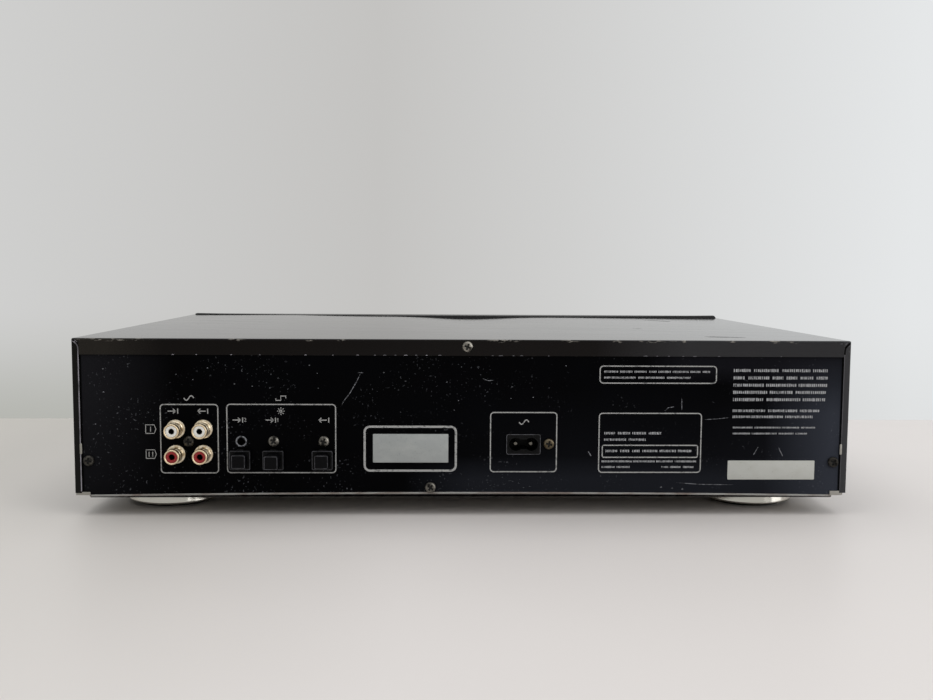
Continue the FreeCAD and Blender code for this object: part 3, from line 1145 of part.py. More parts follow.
def turntable():
    """Magnetic table, centring nose and shaft in one turning piece."""
    low = BASE_TOP + SPINDLE_H + TURNTABLE_GAP
    table = bar(TURNTABLE_R, (MECH_X, DISC_Y, low), "z", TURNTABLE_T)
    floor = low + TURNTABLE_T - GROOVE_DEEP
    groove = bar(TURNTABLE_R - TURNTABLE_RIM, (MECH_X, DISC_Y, floor), "z", OVER).cut(
        bar(NOSE_R + NOSE_MARGIN, (MECH_X, DISC_Y, low), "z", 2 * TURNTABLE_T))
    nose = Part.makeCone(NOSE_R, NOSE_R / 2, NOSE_H, Vector(MECH_X, DISC_Y, low + TURNTABLE_T))
    shaft = bar(SPINDLE_SHAFT_R, (MECH_X, DISC_Y, BASE_TOP + SHAFT_END_GAP), "z", low - BASE_TOP)
    return joined([table.cut(groove), nose, shaft])


def guide_rods():
    return [bar(ROD_R, (MECH_X - ROD_LEFT, y, ROD_AXIS_Z), "x", ROD_LEFT + ROD_RIGHT)
            for y in (DISC_Y - ROD_HALF_PITCH, DISC_Y + ROD_HALF_PITCH)]


def lead_screw():
    """Rod with ring grooves at the thread's pitch, its end in the sled motor."""
    start = MECH_X - SLED_MOTOR_X - SCREW_SOCKET
    end = MECH_X + BASE_HALF_W - SCREW_TAB_IN + TAB_T
    screw_rod = bar(LEAD_SCREW_R, (start, SCREW_Y, ROD_AXIS_Z), "x", end - start)
    grooves = []
    x = MECH_X - SLED_MOTOR_X + LEAD_PITCH
    while x < end - 2 * LEAD_PITCH:
        ring = bar(LEAD_SCREW_R + OVER, (x, SCREW_Y, ROD_AXIS_Z), "x", LEAD_PITCH / 3)
        core = bar(LEAD_SCREW_R * THREAD_CORE, (x - OVER, SCREW_Y, ROD_AXIS_Z), "x", LEAD_PITCH + OVER)
        grooves.append(ring.cut(core))
        x += LEAD_PITCH
    return screw_rod.cut(grooves)


def sled_motor():
    """Small motor beside the spindle, resting on the base."""
    start = MECH_X - SLED_MOTOR_X - SLED_MOTOR_L
    motor = bar(SLED_MOTOR_R, (start, SCREW_Y, ROD_AXIS_Z), "x", SLED_MOTOR_L)
    saddle = block((start, start + SLED_MOTOR_L), about(SCREW_Y, 2 * ROD_R), (BASE_TOP, ROD_AXIS_Z))
    bore_x = start + SLED_MOTOR_L - SCREW_SOCKET - OVER
    bore = bar(LEAD_SCREW_R + LEAD_FIT, (bore_x, SCREW_Y, ROD_AXIS_Z), "x", SCREW_SOCKET + 2 * OVER)
    return joined([motor, saddle]).cut(bore)


def optical_pickup():
    """Sled on the guide rods, with the screw's nut and the post of the magnetic head."""
    x = (LENS_X - SLED_LEFT, LENS_X + SLED_RIGHT)
    z = (BASE_TOP + SLED_LOW, BASE_TOP + SLED_HIGH)
    body = block(x, about(DISC_Y, 2 * SLED_HALF_D), z)
    arm_x = (LENS_X - SLED_LEFT, LENS_X + SLED_LEFT)
    nut = block(arm_x, (DISC_Y + SLED_HALF_D - OVER, HEAD_POST_Y + HEAD_POST_T), (z[0], z[1] - OVER))
    ears = []
    for side in (-1, 1):
        start = LENS_X + side * (HEAD_ARM_W / 2 + EAR_GAP)
        ear_x = sorted((start, start + side * HEAD_EAR_T))
        ears.append(block(ear_x, span(HEAD_POST_Y, HEAD_POST_T),
                          (HEAD_PIVOT_Z - HEAD_POST_T, HEAD_PIVOT_Z + HEAD_POST_T / 2)))
    foot = block((ears[0].BoundBox.XMin, ears[1].BoundBox.XMax), span(HEAD_POST_Y, HEAD_POST_T),
                 (HEAD_PIVOT_Z - 2 * HEAD_POST_T, HEAD_PIVOT_Z - HEAD_POST_T))
    post = block(arm_x, span(HEAD_POST_Y, HEAD_POST_T), (z[0], HEAD_PIVOT_Z - HEAD_POST_T))
    sled = joined([body, nut, post, foot] + ears)
    cuts = [bar(ROD_R + ROD_FIT, (x[0] - OVER, y, ROD_AXIS_Z), "x", x[1] - x[0] + 2 * OVER)
            for y in (DISC_Y - ROD_HALF_PITCH, DISC_Y + ROD_HALF_PITCH)]
    cuts.append(bar(LEAD_SCREW_R + LEAD_FIT, (x[0] - OVER, SCREW_Y, ROD_AXIS_Z), "x", x[1] - x[0] + 2 * OVER))
    cuts.append(bar(LENS_R + LENS_GAP, (LENS_X, DISC_Y, z[1] - LENS_SEAT), "z", 2 * LENS_SEAT))
    cuts.append(bar(HEAD_PIVOT_R + HEAD_PIVOT_FIT, (x[0] - SLED_RIGHT, HEAD_PIVOT_Y, HEAD_PIVOT_Z), "x",
                    2 * SLED_RIGHT + x[1] - x[0]))
    return sled.cut(cuts)


def pickup_lens():
    """Lens in its holder, seated in the sled's cup."""
    z = BASE_TOP + SLED_HIGH - LENS_SEAT
    holder = bar(LENS_R, (LENS_X, DISC_Y, z), "z", LENS_SEAT + LENS_UP / 2)
    radius = 2 * LENS_R
    ball = Part.makeSphere(radius, Vector(LENS_X, DISC_Y, z + LENS_SEAT + LENS_UP - radius))
    glass = ball.common(bar(LENS_R * LENS_GLASS, (LENS_X, DISC_Y, z), "z", LENS_SEAT + LENS_UP))
    return joined([holder, glass])


def head_arm():
    """Sprung arm over the holder, its pivot pin in the sled's ears, the magnetic head at its end."""
    bottom = HEAD_PIVOT_Z - HEAD_PIVOT_R
    arm = block(about(LENS_X, HEAD_ARM_W), (DISC_Y, HEAD_PIVOT_Y), span(bottom, HEAD_ARM_T))
    reach = HEAD_ARM_W / 2 + EAR_GAP + HEAD_EAR_T
    pin = bar(HEAD_PIVOT_R, (LENS_X - reach, HEAD_PIVOT_Y, HEAD_PIVOT_Z), "x", 2 * reach)
    barrel = bar(HEAD_POST_T / 2 - EAR_GAP, (LENS_X - HEAD_ARM_W / 2, HEAD_PIVOT_Y, HEAD_PIVOT_Z), "x",
                 HEAD_ARM_W)
    head = block(about(LENS_X, HEAD_W), about(DISC_Y, HEAD_W), (HOLDER_TOP + HEAD_CLEAR, bottom + HEAD_ARM_T))
    return joined([arm, pin, barrel, head])


NODES = {
    "top_cover": top_cover, "bottom_chassis": bottom_chassis, "rear_panel": rear_panel,
    "front_panel": front_panel, "feet": feet, "foot_pads": foot_pads, "foot_screws": foot_screws,
    "panel_screws": panel_screws, "phono_jack_block": phono_jack_block,
    "phono_jack_shells": phono_jack_shells,
    "phono_inserts_red": lambda: phono_inserts(min(PHONO_Z)),
    "phono_inserts_white": lambda: phono_inserts(max(PHONO_Z)),
    "optical_jacks": optical_jacks, "mains_inlet": mains_inlet, "mains_inlet_pins": mains_inlet_pins,
    "main_board": main_board, "board_chips": board_chips, "board_capacitors": board_capacitors,
    "power_board": power_board, "power_transformer": power_transformer,
    "display_board": display_board, "display_tube": display_tube, "board_switches": board_switches,
    "rotary_controls": rotary_controls, "display_window": display_window,
    "headphone_jack": headphone_jack, "mech_bracket": mech_bracket, "mech_dampers": mech_dampers,
    "mech_chassis": mech_chassis, "spindle_motor": spindle_motor, "turntable": turntable,
    "guide_rods": guide_rods, "lead_screw": lead_screw, "sled_motor": sled_motor,
    "optical_pickup": optical_pickup, "pickup_lens": pickup_lens, "head_arm": head_arm,
    "cartridge_holder": cartridge_holder, "cam_slider": cam_slider, "loading_gear": loading_gear,
    "motor_pinion": motor_pinion, "loading_motor": loading_motor, "slot_door": slot_door,
    "slot_door_pin": slot_door_pin, "jog_dial": jog_dial,
    "record_level_knob": lambda: level_knob(RECORD_KNOB_X),
    "phones_level_knob": lambda: level_knob(PHONES_KNOB_X), "timer_switch": timer_switch,
}


def build():
    """Every node's name and its solids."""
    nodes = {name: make() for name, make in NODES.items()}
    nodes.update({name: pressed_button(name) for name in button_places()})
    nodes.update({f"optical_dust_plug_{number + 1}": optical_dust_plug(number)
                  for number in range(len(OPTICAL_X))})
    return nodes


def write(nodes):
    os.makedirs("parts", exist_ok=True)
    for name, made in nodes.items():
        solids = made if isinstance(made, list) else [made]
        solids = [solid for shape in solids for solid in shape.Solids]
        shape = solids[0] if len(solids) == 1 else Part.makeCompound(solids)
        shape.exportStep(f"parts/{name}.step")
        print(name, len(solids), "solid" if len(solids) == 1 else "solids",
              "valid" if shape.isValid() else "NOT VALID")


write(build())
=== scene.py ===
import json
import math

import bmesh
import bpy
import numpy as np
from mathutils import Matrix

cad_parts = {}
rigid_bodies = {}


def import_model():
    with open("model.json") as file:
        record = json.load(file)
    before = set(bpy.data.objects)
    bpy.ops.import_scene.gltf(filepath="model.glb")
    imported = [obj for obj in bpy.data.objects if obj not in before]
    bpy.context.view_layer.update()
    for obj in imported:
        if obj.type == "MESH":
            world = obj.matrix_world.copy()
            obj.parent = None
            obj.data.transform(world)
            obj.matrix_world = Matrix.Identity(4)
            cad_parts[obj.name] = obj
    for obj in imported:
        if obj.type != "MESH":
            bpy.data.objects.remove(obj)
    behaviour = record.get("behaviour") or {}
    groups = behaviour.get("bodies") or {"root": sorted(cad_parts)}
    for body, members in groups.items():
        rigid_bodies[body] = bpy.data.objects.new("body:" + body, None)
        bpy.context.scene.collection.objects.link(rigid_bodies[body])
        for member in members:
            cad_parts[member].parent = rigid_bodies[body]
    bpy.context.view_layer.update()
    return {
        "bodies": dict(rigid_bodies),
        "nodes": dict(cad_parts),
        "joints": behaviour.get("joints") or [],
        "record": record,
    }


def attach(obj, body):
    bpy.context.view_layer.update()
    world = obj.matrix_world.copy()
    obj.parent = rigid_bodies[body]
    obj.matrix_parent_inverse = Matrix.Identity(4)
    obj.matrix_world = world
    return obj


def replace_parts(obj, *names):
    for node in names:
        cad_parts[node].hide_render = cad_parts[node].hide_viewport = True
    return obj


# Looks for a full-size minidisc deck, seen from its rear. Lengths are in millimetres and makePiece turns them to
# metres. X is to the right as seen from the front, the front face looks along -Y, Z is up and the shelf is at 0.

for leftover in list(bpy.data.objects):
    bpy.data.objects.remove(leftover)
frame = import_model()
nodes = frame["nodes"]
mm = 0.001
deck = dict(rear=145.4, panel=144.6, coverFront=-120.3, coverLow=13.2, face=-142.6, ink=(144.585, 144.635))
current = {}                                            # the tree being wired, its shader and its object space


def linear(hexText):
    # sRGB hex to linear colour: each channel above 0.04045 goes through the 2.4 power curve
    channels = [int(hexText[i:i + 2], 16) / 255 for i in (1, 3, 5)]
    return [c / 12.92 if c <= 0.04045 else ((c + 0.055) / 1.055) ** 2.4 for c in channels] + [1]


def addNode(kind, links=None, out=0, **settings):
    # one node of the current tree with its settings; links maps an input to a socket or to a plain value
    node = current["tree"].nodes.new("ShaderNode" + kind)
    for key, value in settings.items():
        setattr(node, key, value)
    for socket, value in (links or {}).items():
        if isinstance(value, bpy.types.NodeSocket):
            current["tree"].links.new(value, node.inputs[socket])
        else:
            node.inputs[socket].default_value = value
    return node.outputs[out] if node.outputs else None


def newLook(name, colour, rough, metal=0, **sockets):
    # a Principled surface with plain values on its own sockets; what follows is mixed into it
    look = bpy.data.materials.new(name)
    look.use_nodes = True
    shader = look.node_tree.nodes["Principled BSDF"]
    values = {"Base Color": linear(colour), "Roughness": rough, "Metallic": metal}
    for socket, value in (values | sockets).items():
        shader.inputs[socket.replace("_", " ")].default_value = value
    current.update(tree=look.node_tree, shader=shader)
    current["where"] = addNode("TexCoord", out="Object")
    return look


def stretched(size, turn=(0, 0, 0)):
    # object space measured in grains: size is one grain in mm, or three along X, Y and Z, after a turn in degrees
    turned = addNode("Mapping", {0: current["where"], 2: [math.radians(a) for a in turn]})
    return addNode("Mapping", {0: turned, 3: [1000 / s for s in np.broadcast_to(size, 3)]})


def mottle(size, low, high, turn=(0, 0, 0), detail=3, within=1):
    # soft random patches: 0 where the noise is below low and full above high; full is 1 or another mask
    noise = addNode("TexNoise", {"Vector": stretched(size, turn), "Scale": 1, "Detail": detail})
    return addNode("MapRange", {0: noise, 1: low, 2: high, 4: within})


def specks(size, reach, share, turn=(0, 0, 0), within=1):
    # one round or drawn-out dot in a share of the cells: full inside reach of the cell's point
    away = addNode("TexVoronoi", {"Vector": stretched(size, turn), "Scale": 1}, "Distance")
    dot = addNode("MapRange", {0: away, 1: reach, 2: reach * 0.55, 4: within})
    chosen = addNode("SeparateColor", {0: away.node.outputs["Color"]})
    kept = addNode("Math", {0: chosen, 1: share}, operation="LESS_THAN")
    return addNode("Math", {0: dot, 1: kept}, operation="MULTIPLY")


def beyond(axis, start, end):
    # 0 at start mm and 1 at end mm along one axis
    along = addNode("SeparateXYZ", {0: current["where"]}, axis)
    return addNode("MapRange", {0: along, 1: start * mm, 2: end * mm})


def lay(socket, mask, value, share=1):
    # lays a colour or number over what the shader's socket has now, by mask times share
    target = current["shader"].inputs[socket]
    isColour = target.type == "RGBA"
    kind, first, second, out = ("RGBA", 6, 7, 2) if isColour else ("FLOAT", 2, 3, 0)
    below = target.links[0].from_socket if target.is_linked else target.default_value
    if isColour:
        value = linear(value)
        below = below if target.is_linked else list(below)
    if share != 1:
        mask = addNode("Math", {0: mask, 1: share}, operation="MULTIPLY")
    current["tree"].links.new(addNode("Mix", {0: mask, first: below, second: value}, out, data_type=kind), target)


def tint(mask, colour, share=1):
    # a colour laid over the base colour
    lay("Base Color", mask, colour, share)


def roughen(mask, value, share=1):
    # a roughness laid over the plain one
    lay("Roughness", mask, value, share)


def relief(height, depth):
    # bump of a depth in mm
    bump = addNode("Bump", {"Height": height, "Strength": 1, "Distance": depth * mm})
    current["tree"].links.new(bump, current["shader"].inputs["Normal"])


def dress(look, *names):
    # nodes of the frame take one look in place of their own
    for name in names:
        nodes[name].data.materials.clear()
        nodes[name].data.materials.append(look)


# mesh makers: a part is its points in mm and its faces
def gridFaces(nu, nv, wrapU=False, wrapV=False):
    # quads of a grid whose point (i, j) has the number i*nv + j
    i, j = np.meshgrid(np.arange(nu if wrapU else nu - 1), np.arange(nv if wrapV else nv - 1), indexing="ij")
    ni, nj = (i + 1) % nu, (j + 1) % nv
    return np.stack([i * nv + j, ni * nv + j, ni * nv + nj, i * nv + nj], -1).reshape(-1, 4).tolist()


def joined(rings, wrapped=False):
    # rings of points, each closed and joined to the next; the last meets the first, or two caps close the ends
    rows, count = rings.shape[:2]
    caps = [] if wrapped else [list(range(count)), list(range((rows - 1) * count, rows * count))]
    return rings.reshape(-1, 3), gridFaces(rows, count, wrapU=wrapped, wrapV=True) + caps


def atDepths(outlines, depths):
    # (x, z) outlines, each at its own depth, as rings of (x, y, z) points
    return np.stack([np.insert(outline, 1, depth, axis=1) for outline, depth in zip(outlines, depths)])


def thickGrid(surface, thickness):
    # closed shell: the inner skin is the outer one moved back along the cross product of its two slopes
    nu, nv = surface.shape[:2]
    across = np.cross(np.gradient(surface, axis=0), np.gradient(surface, axis=1))
    across /= np.maximum(np.linalg.norm(across, axis=2, keepdims=True), 1e-12)
    points = np.concatenate([surface.reshape(-1, 3), (surface - across * thickness).reshape(-1, 3)])
    outer = np.array(gridFaces(nu, nv))
    inner = outer[:, ::-1] + nu * nv
    index = np.arange(nu * nv).reshape(nu, nv)
    loop = np.concatenate([index[:-1, 0], index[-1, :-1], index[:0:-1, -1], index[0, :0:-1]])
    following = np.roll(loop, -1)
    rim = np.stack([following, loop, loop + nu * nv, following + nu * nv], -1)
    return points, np.concatenate([outer, inner, rim]).tolist()


def turnedShape(profile, centre, axis="y", steps=48, ripple=None):
    # a profile of (radius, along) points carried round the Y or Z axis; ripple adds to the radius by angle
    profile = np.asarray(profile, float)
    angle = np.linspace(0, 2 * np.pi, steps, endpoint=False)
    radius, along = (np.tile(profile[:, k:k + 1], (1, steps)) for k in (0, 1))
    if ripple is not None:
        radius = radius + ripple(angle[None, :], radius, along)
    first, second = radius * np.cos(angle), radius * np.sin(angle)
    order = (second, along, first) if axis == "y" else (first, second, along)
    return joined(np.stack(order, -1) + np.asarray(centre, float), wrapped=True)


def roundedOutline(width, height, radius):
    # rounded rectangle, counter-clockwise: four quarter circles in turn
    radius = min(radius, width / 2 - 1e-3, height / 2 - 1e-3)
    rounds = []
    for turn, (sx, sz) in enumerate([(1, 1), (-1, 1), (-1, -1), (1, -1)]):
        a = np.linspace(0, np.pi / 2, 6) + turn * np.pi / 2
        rounds.append(np.stack([sx * (width / 2 - radius) + radius * np.cos(a),
                                sz * (height / 2 - radius) + radius * np.sin(a)], -1))
    return np.concatenate(rounds)


def shrunk(width, height, corner, insets, least):
    # the same rounded rectangle drawn in by each inset; its corner shrinks with it, down to a least radius
    return [roundedOutline(width - 2 * s, height - 2 * s, max(corner - s, least)) for s in insets]


def roundedBlock(centre, width, height, y, corner, edge):
    # a slab standing on the plane y[0]; its outline shrinks along a quarter circle at the far face
    quarter = np.linspace(0, np.pi / 2, 4)
    insets = np.concatenate([[0], edge * (1 - np.cos(quarter))])
    depths = np.concatenate([[y[0]], y[1] - np.sign(y[1] - y[0]) * edge * (1 - np.sin(quarter))])
    return joined(atDepths(shrunk(width, height, corner, insets, 0.02), depths) + [centre[0], 0, centre[1]])


def ringFrame(centre, width, height, corner, line, y=deck["ink"]):
    # a printed frame or raised rim: the outline at two sizes and two depths, joined into a closed band
    rings = atDepths(shrunk(width, height, corner, (0, 0, line, line), 0.05), (y[0], y[1], y[1], y[0]))
    return joined(rings + [centre[0], 0, centre[1]], wrapped=True)


def ribbon(path, width, y=deck["ink"]):
    # a flat line of some width along (x, z) points, from depth y[0] to y[1]
    path = np.asarray(path, float)
    run = np.gradient(path, axis=0)
    side = np.stack([-run[:, 1], run[:, 0]], -1) / np.maximum(np.linalg.norm(run, axis=1, keepdims=True), 1e-9)
    half = side * (np.reshape(width, (-1, 1)) / 2)
    edges = atDepths([path + half, path + half, path - half, path - half], (y[0], y[1], y[1], y[0]))
    return joined(edges.swapaxes(0, 1))


def plate(outline, y):
    # a flat (x, z) outline given thickness between two depths
    return joined(atDepths([outline, outline], y))


def boxes(low, high):
    # many boxes at once, from arrays of their lowest and highest corners
    low, high = np.atleast_2d(np.asarray(low, float)), np.atleast_2d(np.asarray(high, float))
    pick = np.array([[(k >> axis) & 1 for axis in range(3)] for k in range(8)])
    points = np.where(pick[None], high[:, None], low[:, None]).reshape(-1, 3)
    sides = np.array([[0, 2, 3, 1], [4, 5, 7, 6], [0, 1, 5, 4], [2, 6, 7, 3], [0, 4, 6, 2], [1, 3, 7, 5]])
    return points, (sides[None] + 8 * np.arange(len(low))[:, None, None]).reshape(-1, 4).tolist()


def onCircle(x, z, radius, degrees):
    # (x, z) points round a centre; the radius or the angle may be an array
    a = np.radians(degrees)
    return np.stack([x + np.asarray(radius) * np.cos(a), z + np.asarray(radius) * np.sin(a)], -1)


def makePiece(name, parts, look, finish=None, body="deck", sharp=32, smooth=True, **marks):
    # one object from its parts; doubles are merged and faces turned outwards; marks are values on its points
    starts = np.cumsum([0] + [len(points) for points, faces in parts]).tolist()
    faces = [[number + start for number in face] for (_, part), start in zip(parts, starts) for face in part]
    mesh = bpy.data.meshes.new(name)
    mesh.from_pydata((np.concatenate([points for points, _ in parts]) * mm).tolist(), [], faces)
    for mark, values in marks.items():
        mesh.attributes.new(mark, "FLOAT", "POINT").data.foreach_set("value", np.asarray(values, np.float32))
    shape = bmesh.new()
    shape.from_mesh(mesh)
    bmesh.ops.remove_doubles(shape, verts=shape.verts, dist=1e-7)
    bmesh.ops.recalc_face_normals(shape, faces=shape.faces)
    shape.to_mesh(mesh)
    shape.free()
    if smooth:
        mesh.shade_smooth()
        mesh.set_sharp_from_angle(angle=math.radians(sharp))
    else:
        mesh.shade_flat()
    mesh.materials.append(look)
    piece = bpy.data.objects.new(name, mesh)
    bpy.context.scene.collection.objects.link(piece)
    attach(piece, body)
    return piece


def writing(text, height, centre, y=deck["ink"], facing=-1):
    # a numeral cut as a thin plate: curve text made a mesh, then set upright on a face
    curve = bpy.data.curves.new("numeral", "FONT")
    curve.body, curve.size = text, height * mm * 1.38
    curve.align_x, curve.align_y = "CENTER", "CENTER"
    flat = bpy.data.objects.new("numeral", curve)
    bpy.context.scene.collection.objects.link(flat)
    mesh = bpy.data.meshes.new_from_object(flat.evaluated_get(bpy.context.evaluated_depsgraph_get()))
    points = np.empty(len(mesh.vertices) * 3)
    mesh.vertices.foreach_get("co", points)
    points = points.reshape(-1, 3) / mm
    faces = [list(face.vertices) for face in mesh.polygons]
    bpy.data.objects.remove(flat)
    outline = np.stack([-facing * points[:, 0] + centre[0], points[:, 1] + centre[1]], -1)
    count = len(points)
    edges = {edge for face in faces for edge in zip(face, face[1:] + face[:1])}
    rim = [[b, a, a + count, b + count] for face in faces for a, b in zip(face, face[1:] + face[:1])
           if (b, a) not in edges]
    sides = [face[::-1] for face in faces] + [[number + count for number in face] for face in faces]
    return atDepths([outline, outline], y).reshape(-1, 3), sides + rim


print("helpers ready")

# baked satin enamel on folded steel: dark, faintly streaked along the sheet, chipped to pale primer at folds
coverPaint = newLook("bakedSatinEnamel", "#050404", 0.08, Specular_IOR_Level=0.15)
relief(mottle(0.9, 0.3, 0.7), 0.002)                                # orange peel, under a millimetre
streaks = mottle((70, 9, 12), 0.42, 0.8, turn=(0, 0, 12))
roughen(streaks, 0.14, 0.6)
tint(streaks, "#121110", 0.35)
roughen(mottle((34, 46, 30), 0.52, 0.72), 0.06, 0.5)          # rubbed smooth in places
tint(specks((26, 1.6, 26), 0.16, 0.05, turn=(0, 0, 24)), "#5A5855", 0.4)                # hairlines
hemSide = beyond("Y", 143.6, 145.2)                                 # the hem and the returns, seen from behind
tint(hemSide, "#060201", 0.9)
browned = addNode("Math", {0: hemSide, 1: beyond("X", 165, 198)}, operation="MULTIPLY")
tint(browned, "#221F1B")
tint(beyond("X", 211, 211.6), "#0A0907")                          # the +X return is black
# painted sheen: the hem and the -X return are made paler towards -X, the side the window light comes from
hemPaintedSheen = addNode("Math", {0: hemSide, 1: beyond("X", -72, -124)}, operation="MULTIPLY")
tint(hemPaintedSheen, "#2C2C2E", 0.95)
returnPaintedSheen = addNode("Math", {0: hemSide, 1: beyond("X", -211, -211.6)}, operation="MULTIPLY")
tint(returnPaintedSheen, "#363638")
edgeWear = addNode("Attribute", out="Fac", attribute_name="wear")
chips = mottle((3, 1.6, 0.8), 0.48, 0.58, detail=6, within=edgeWear)
worn = addNode("MapRange", {0: chips, 1: 0.45, 2: 0.8})
tint(worn, "#8A867E", 0.85)
roughen(worn, 0.55)

# sheared edge of the painted sheet: paint drawn thin over grey steel where it is worn, and a painted highlight where
# the returns' cut edges catch the light; duller at the -X end
cutEdgeWearAndGlint = newLook("shearedEdgeWearAndPaintedHighlight", "#8E8B92", 0.45)
tint(mottle((4, 4, 9), 0.46, 0.66), "#3A393C", 0.8)
tint(beyond("X", 0, -10), "#3A3A3D", 0.8)
# enamel gone dull where things slid over it
scuffedPaint = newLook("scuffedEnamel", "#0C0B0B", 0.4, Specular_IOR_Level=0.1)
roughen(mottle((6, 2, 6), 0.4, 0.62), 0.16)
# painted shadow in the gap of a folded seam: black and matt
seamGapShadow = newLook("paintedSeamGapShadow", "#030303", 0.9, Specular_IOR_Level=0.05)
tint(mottle(1.2, 0.5, 0.7), "#0D0C0B", 0.5)
# painted highlights on the outer edges of black mouldings: pale grey lines where the edges catch the light
mouldingEdgeHighlight = newLook("paintedMouldingEdgeHighlight", "#4C4C52", 0.42)
tint(mottle((3, 3, 2), 0.42, 0.6), "#17171A", 0.85)

# powder-coated panel steel: blue-black, dusted with fine pale specks and short scuffs; painted sheen makes it paler at
# the ends and low down, and painted shade makes it black in the gaps beside the returns
panelPaint = newLook("powderCoatedPanelSteel", "#010102", 0.42, Specular_IOR_Level=0.025)
relief(mottle(0.7, 0.3, 0.7), 0.004)
tint(mottle((60, 60, 34), 0.45, 0.8), "#040509", 0.5)
# painted sheen: paler patches where light falls on the panel, as (x from, to), (z from, to), tone, share
panelSheenPatches = [((20, -60), (74, 34), "#0F1014", 0.6), ((160, 206), (-30, 70), "#1A1A1D", 1),
           ((34, -4), (34, 21), "#1B1D22", 0.95), ((-100, -122), (74, 84), "#18181D", 0.6),
           ((-140, -165), (76, 50), "#1B1D22", 0.12), ((-168, -206), (92, 58), "#32353D", 1)]
for across, upward, tone, share in panelSheenPatches:
    sheenSpot = addNode("Math", {0: beyond("X", *across), 1: beyond("Z", *upward)}, operation="MULTIPLY")
    tint(sheenSpot, tone, share)
# painted shade: the gaps beside the returns are darkened to black
for gap in ((-210.4, -210.9), (210.2, 210.7)):
    tint(beyond("X", *gap), "#010101", 0.9)
leftward = addNode("MapRange", {0: beyond("X", -120, 190), 3: 0.35, 4: 1})            # more dust towards +X
clusters = addNode("Math", {0: mottle((30, 30, 22), 0.48, 0.62), 1: leftward}, operation="MULTIPLY")
fineDust = mottle(1.3, 0.64, 0.71, detail=4, within=clusters)
coarseDust = specks((9, 9, 7), 0.065, 0.15, within=leftward)
scuffs = mottle((5, 5, 0.9), 0.7, 0.78, turn=(0, 28, 0), within=mottle(40, 0.5, 0.6))
for mask, tone, share in ((fineDust, "#7E8086", 0.45), (coarseDust, "#9A9CA0", 0.4), (scuffs, "#6C6F76", 0.3)):
    tint(mask, tone, share)

# electro-galvanised sheet steel: grey zinc with a soft grain, rusting brown where it was cut
panSteel = newLook("galvanisedSheetSteel", "#BDBBB5", 0.38, 1)
grain = mottle((9, 9, 1.4), 0.3, 0.7)
roughen(grain, 0.5)
tint(grain, "#8B8983", 0.5)
rust = mottle((7, 9, 3), 0.53, 0.6, within=beyond("Y", 139, 144))
tint(rust, "#4A2A1A", 0.8)
lay("Metallic", rust, 0.1, 0.8)
roughen(rust, 0.8)
# the same sheet's bend, pale and nearly non-metallic as a painted reflection, and a dark brown painted shade under it
bendPaintedReflection = newLook("zincBendPaintedReflection", "#92918D", 0.5, 0.1)
tint(mottle((11, 3, 3), 0.45, 0.66), "#6B5D55", 0.8)
undersidePaintedShade = newLook("paintedUndersideShade", "#231C18", 0.7)
tint(mottle((14, 3, 3), 0.42, 0.62), "#14110F", 0.9)

# injection-moulded ABS front with a spark-eroded satin texture: grit of 0.05 mm, drawn coarser so that it shows
frontAbs = newLook("texturedBlackAbs", "#101012", 0.4)
relief(mottle(0.45, 0.25, 0.75), 0.01)
roughen(mottle(40, 0.4, 0.7), 0.48, 0.5)

# brushed aluminium trim, grain along X
trimMetal = newLook("brushedAluminium", "#9C9B97", 0.3, 1, Anisotropic=0.5)
lines = mottle((30, 0.22, 0.22), 0.3, 0.7)
roughen(lines, 0.42)
relief(lines, 0.004)

# metallised ABS foot shells: bright silver, turned rings 0.5 mm apart, a little grime low down
footShine = newLook("metallisedFootPlastic", "#BEBBB3", 0.1, 1)
ringWay = addNode("Attribute", out="Fac", attribute_name="ring")
phase = addNode("Math", {0: ringWay, 1: 2 * math.pi / 0.5}, operation="MULTIPLY")
relief(addNode("Math", {0: phase}, operation="SINE"), 0.0015)
roughen(mottle(9, 0.4, 0.75), 0.2)
tint(mottle((6, 6, 1.6), 0.56, 0.74), "#B5B1A6", 0.35)

# felt-faced rubber pad: dull, with short pale fibres
padRubber = newLook("feltedRubber", "#1B1A19", 0.92, Specular_IOR_Level=0.25)
fibre = mottle(0.35, 0.3, 0.7, detail=5)
tint(fibre, "#33312E", 0.6)
relief(fibre, 0.05)

# blackened steel screws, rubbed towards grey by different shares, with painted shade darkening the driver's cross; the
# one by the mains inlet is yellow passivated
screwSteel = newLook("blackenedSteel", "#1F1D1B", 0.34, 0.9)
rubbedShare = addNode("Attribute", out="Fac", attribute_name="rubbed")
tint(mottle(2.6, 0.34, 0.58, within=rubbedShare), "#A39F96")
inletScrew = [-46.8 * mm, 146 * mm, 40.9 * mm]
away = addNode("VectorMath", {0: current["where"], 1: inletScrew}, "Value", operation="DISTANCE")
tint(addNode("MapRange", {0: away, 1: 5 * mm, 2: 4 * mm}), "#6A5A3A", 0.45)
roughen(mottle(1.6, 0.4, 0.6), 0.46)
# painted shade: the cross recess is darkened to matt black
recessShade = addNode("Attribute", out="Fac", attribute_name="recess")
tint(recessShade, "#050505", 0.95)
lay("Metallic", recessShade, 0)
roughen(recessShade, 0.8)

# zinc-plated steel for screws and tabs: grey with soft spangle
zincSteel = newLook("zincPlatedSteel", "#A4A29C", 0.33, 1)
spangle = mottle((6, 2, 6), 0.35, 0.65)
roughen(spangle, 0.45)
tint(spangle, "#918F88", 0.5)

# moulded PBT of the socket bodies: near black, fine matt mould texture, dust in the corners
socketPbt = newLook("mattBlackPbt", "#040405", 0.46, Specular_IOR_Level=0.12)
relief(mottle(0.35, 0.3, 0.7), 0.008)
tint(mottle(1.6, 0.58, 0.72), "#1C1C20", 0.35)

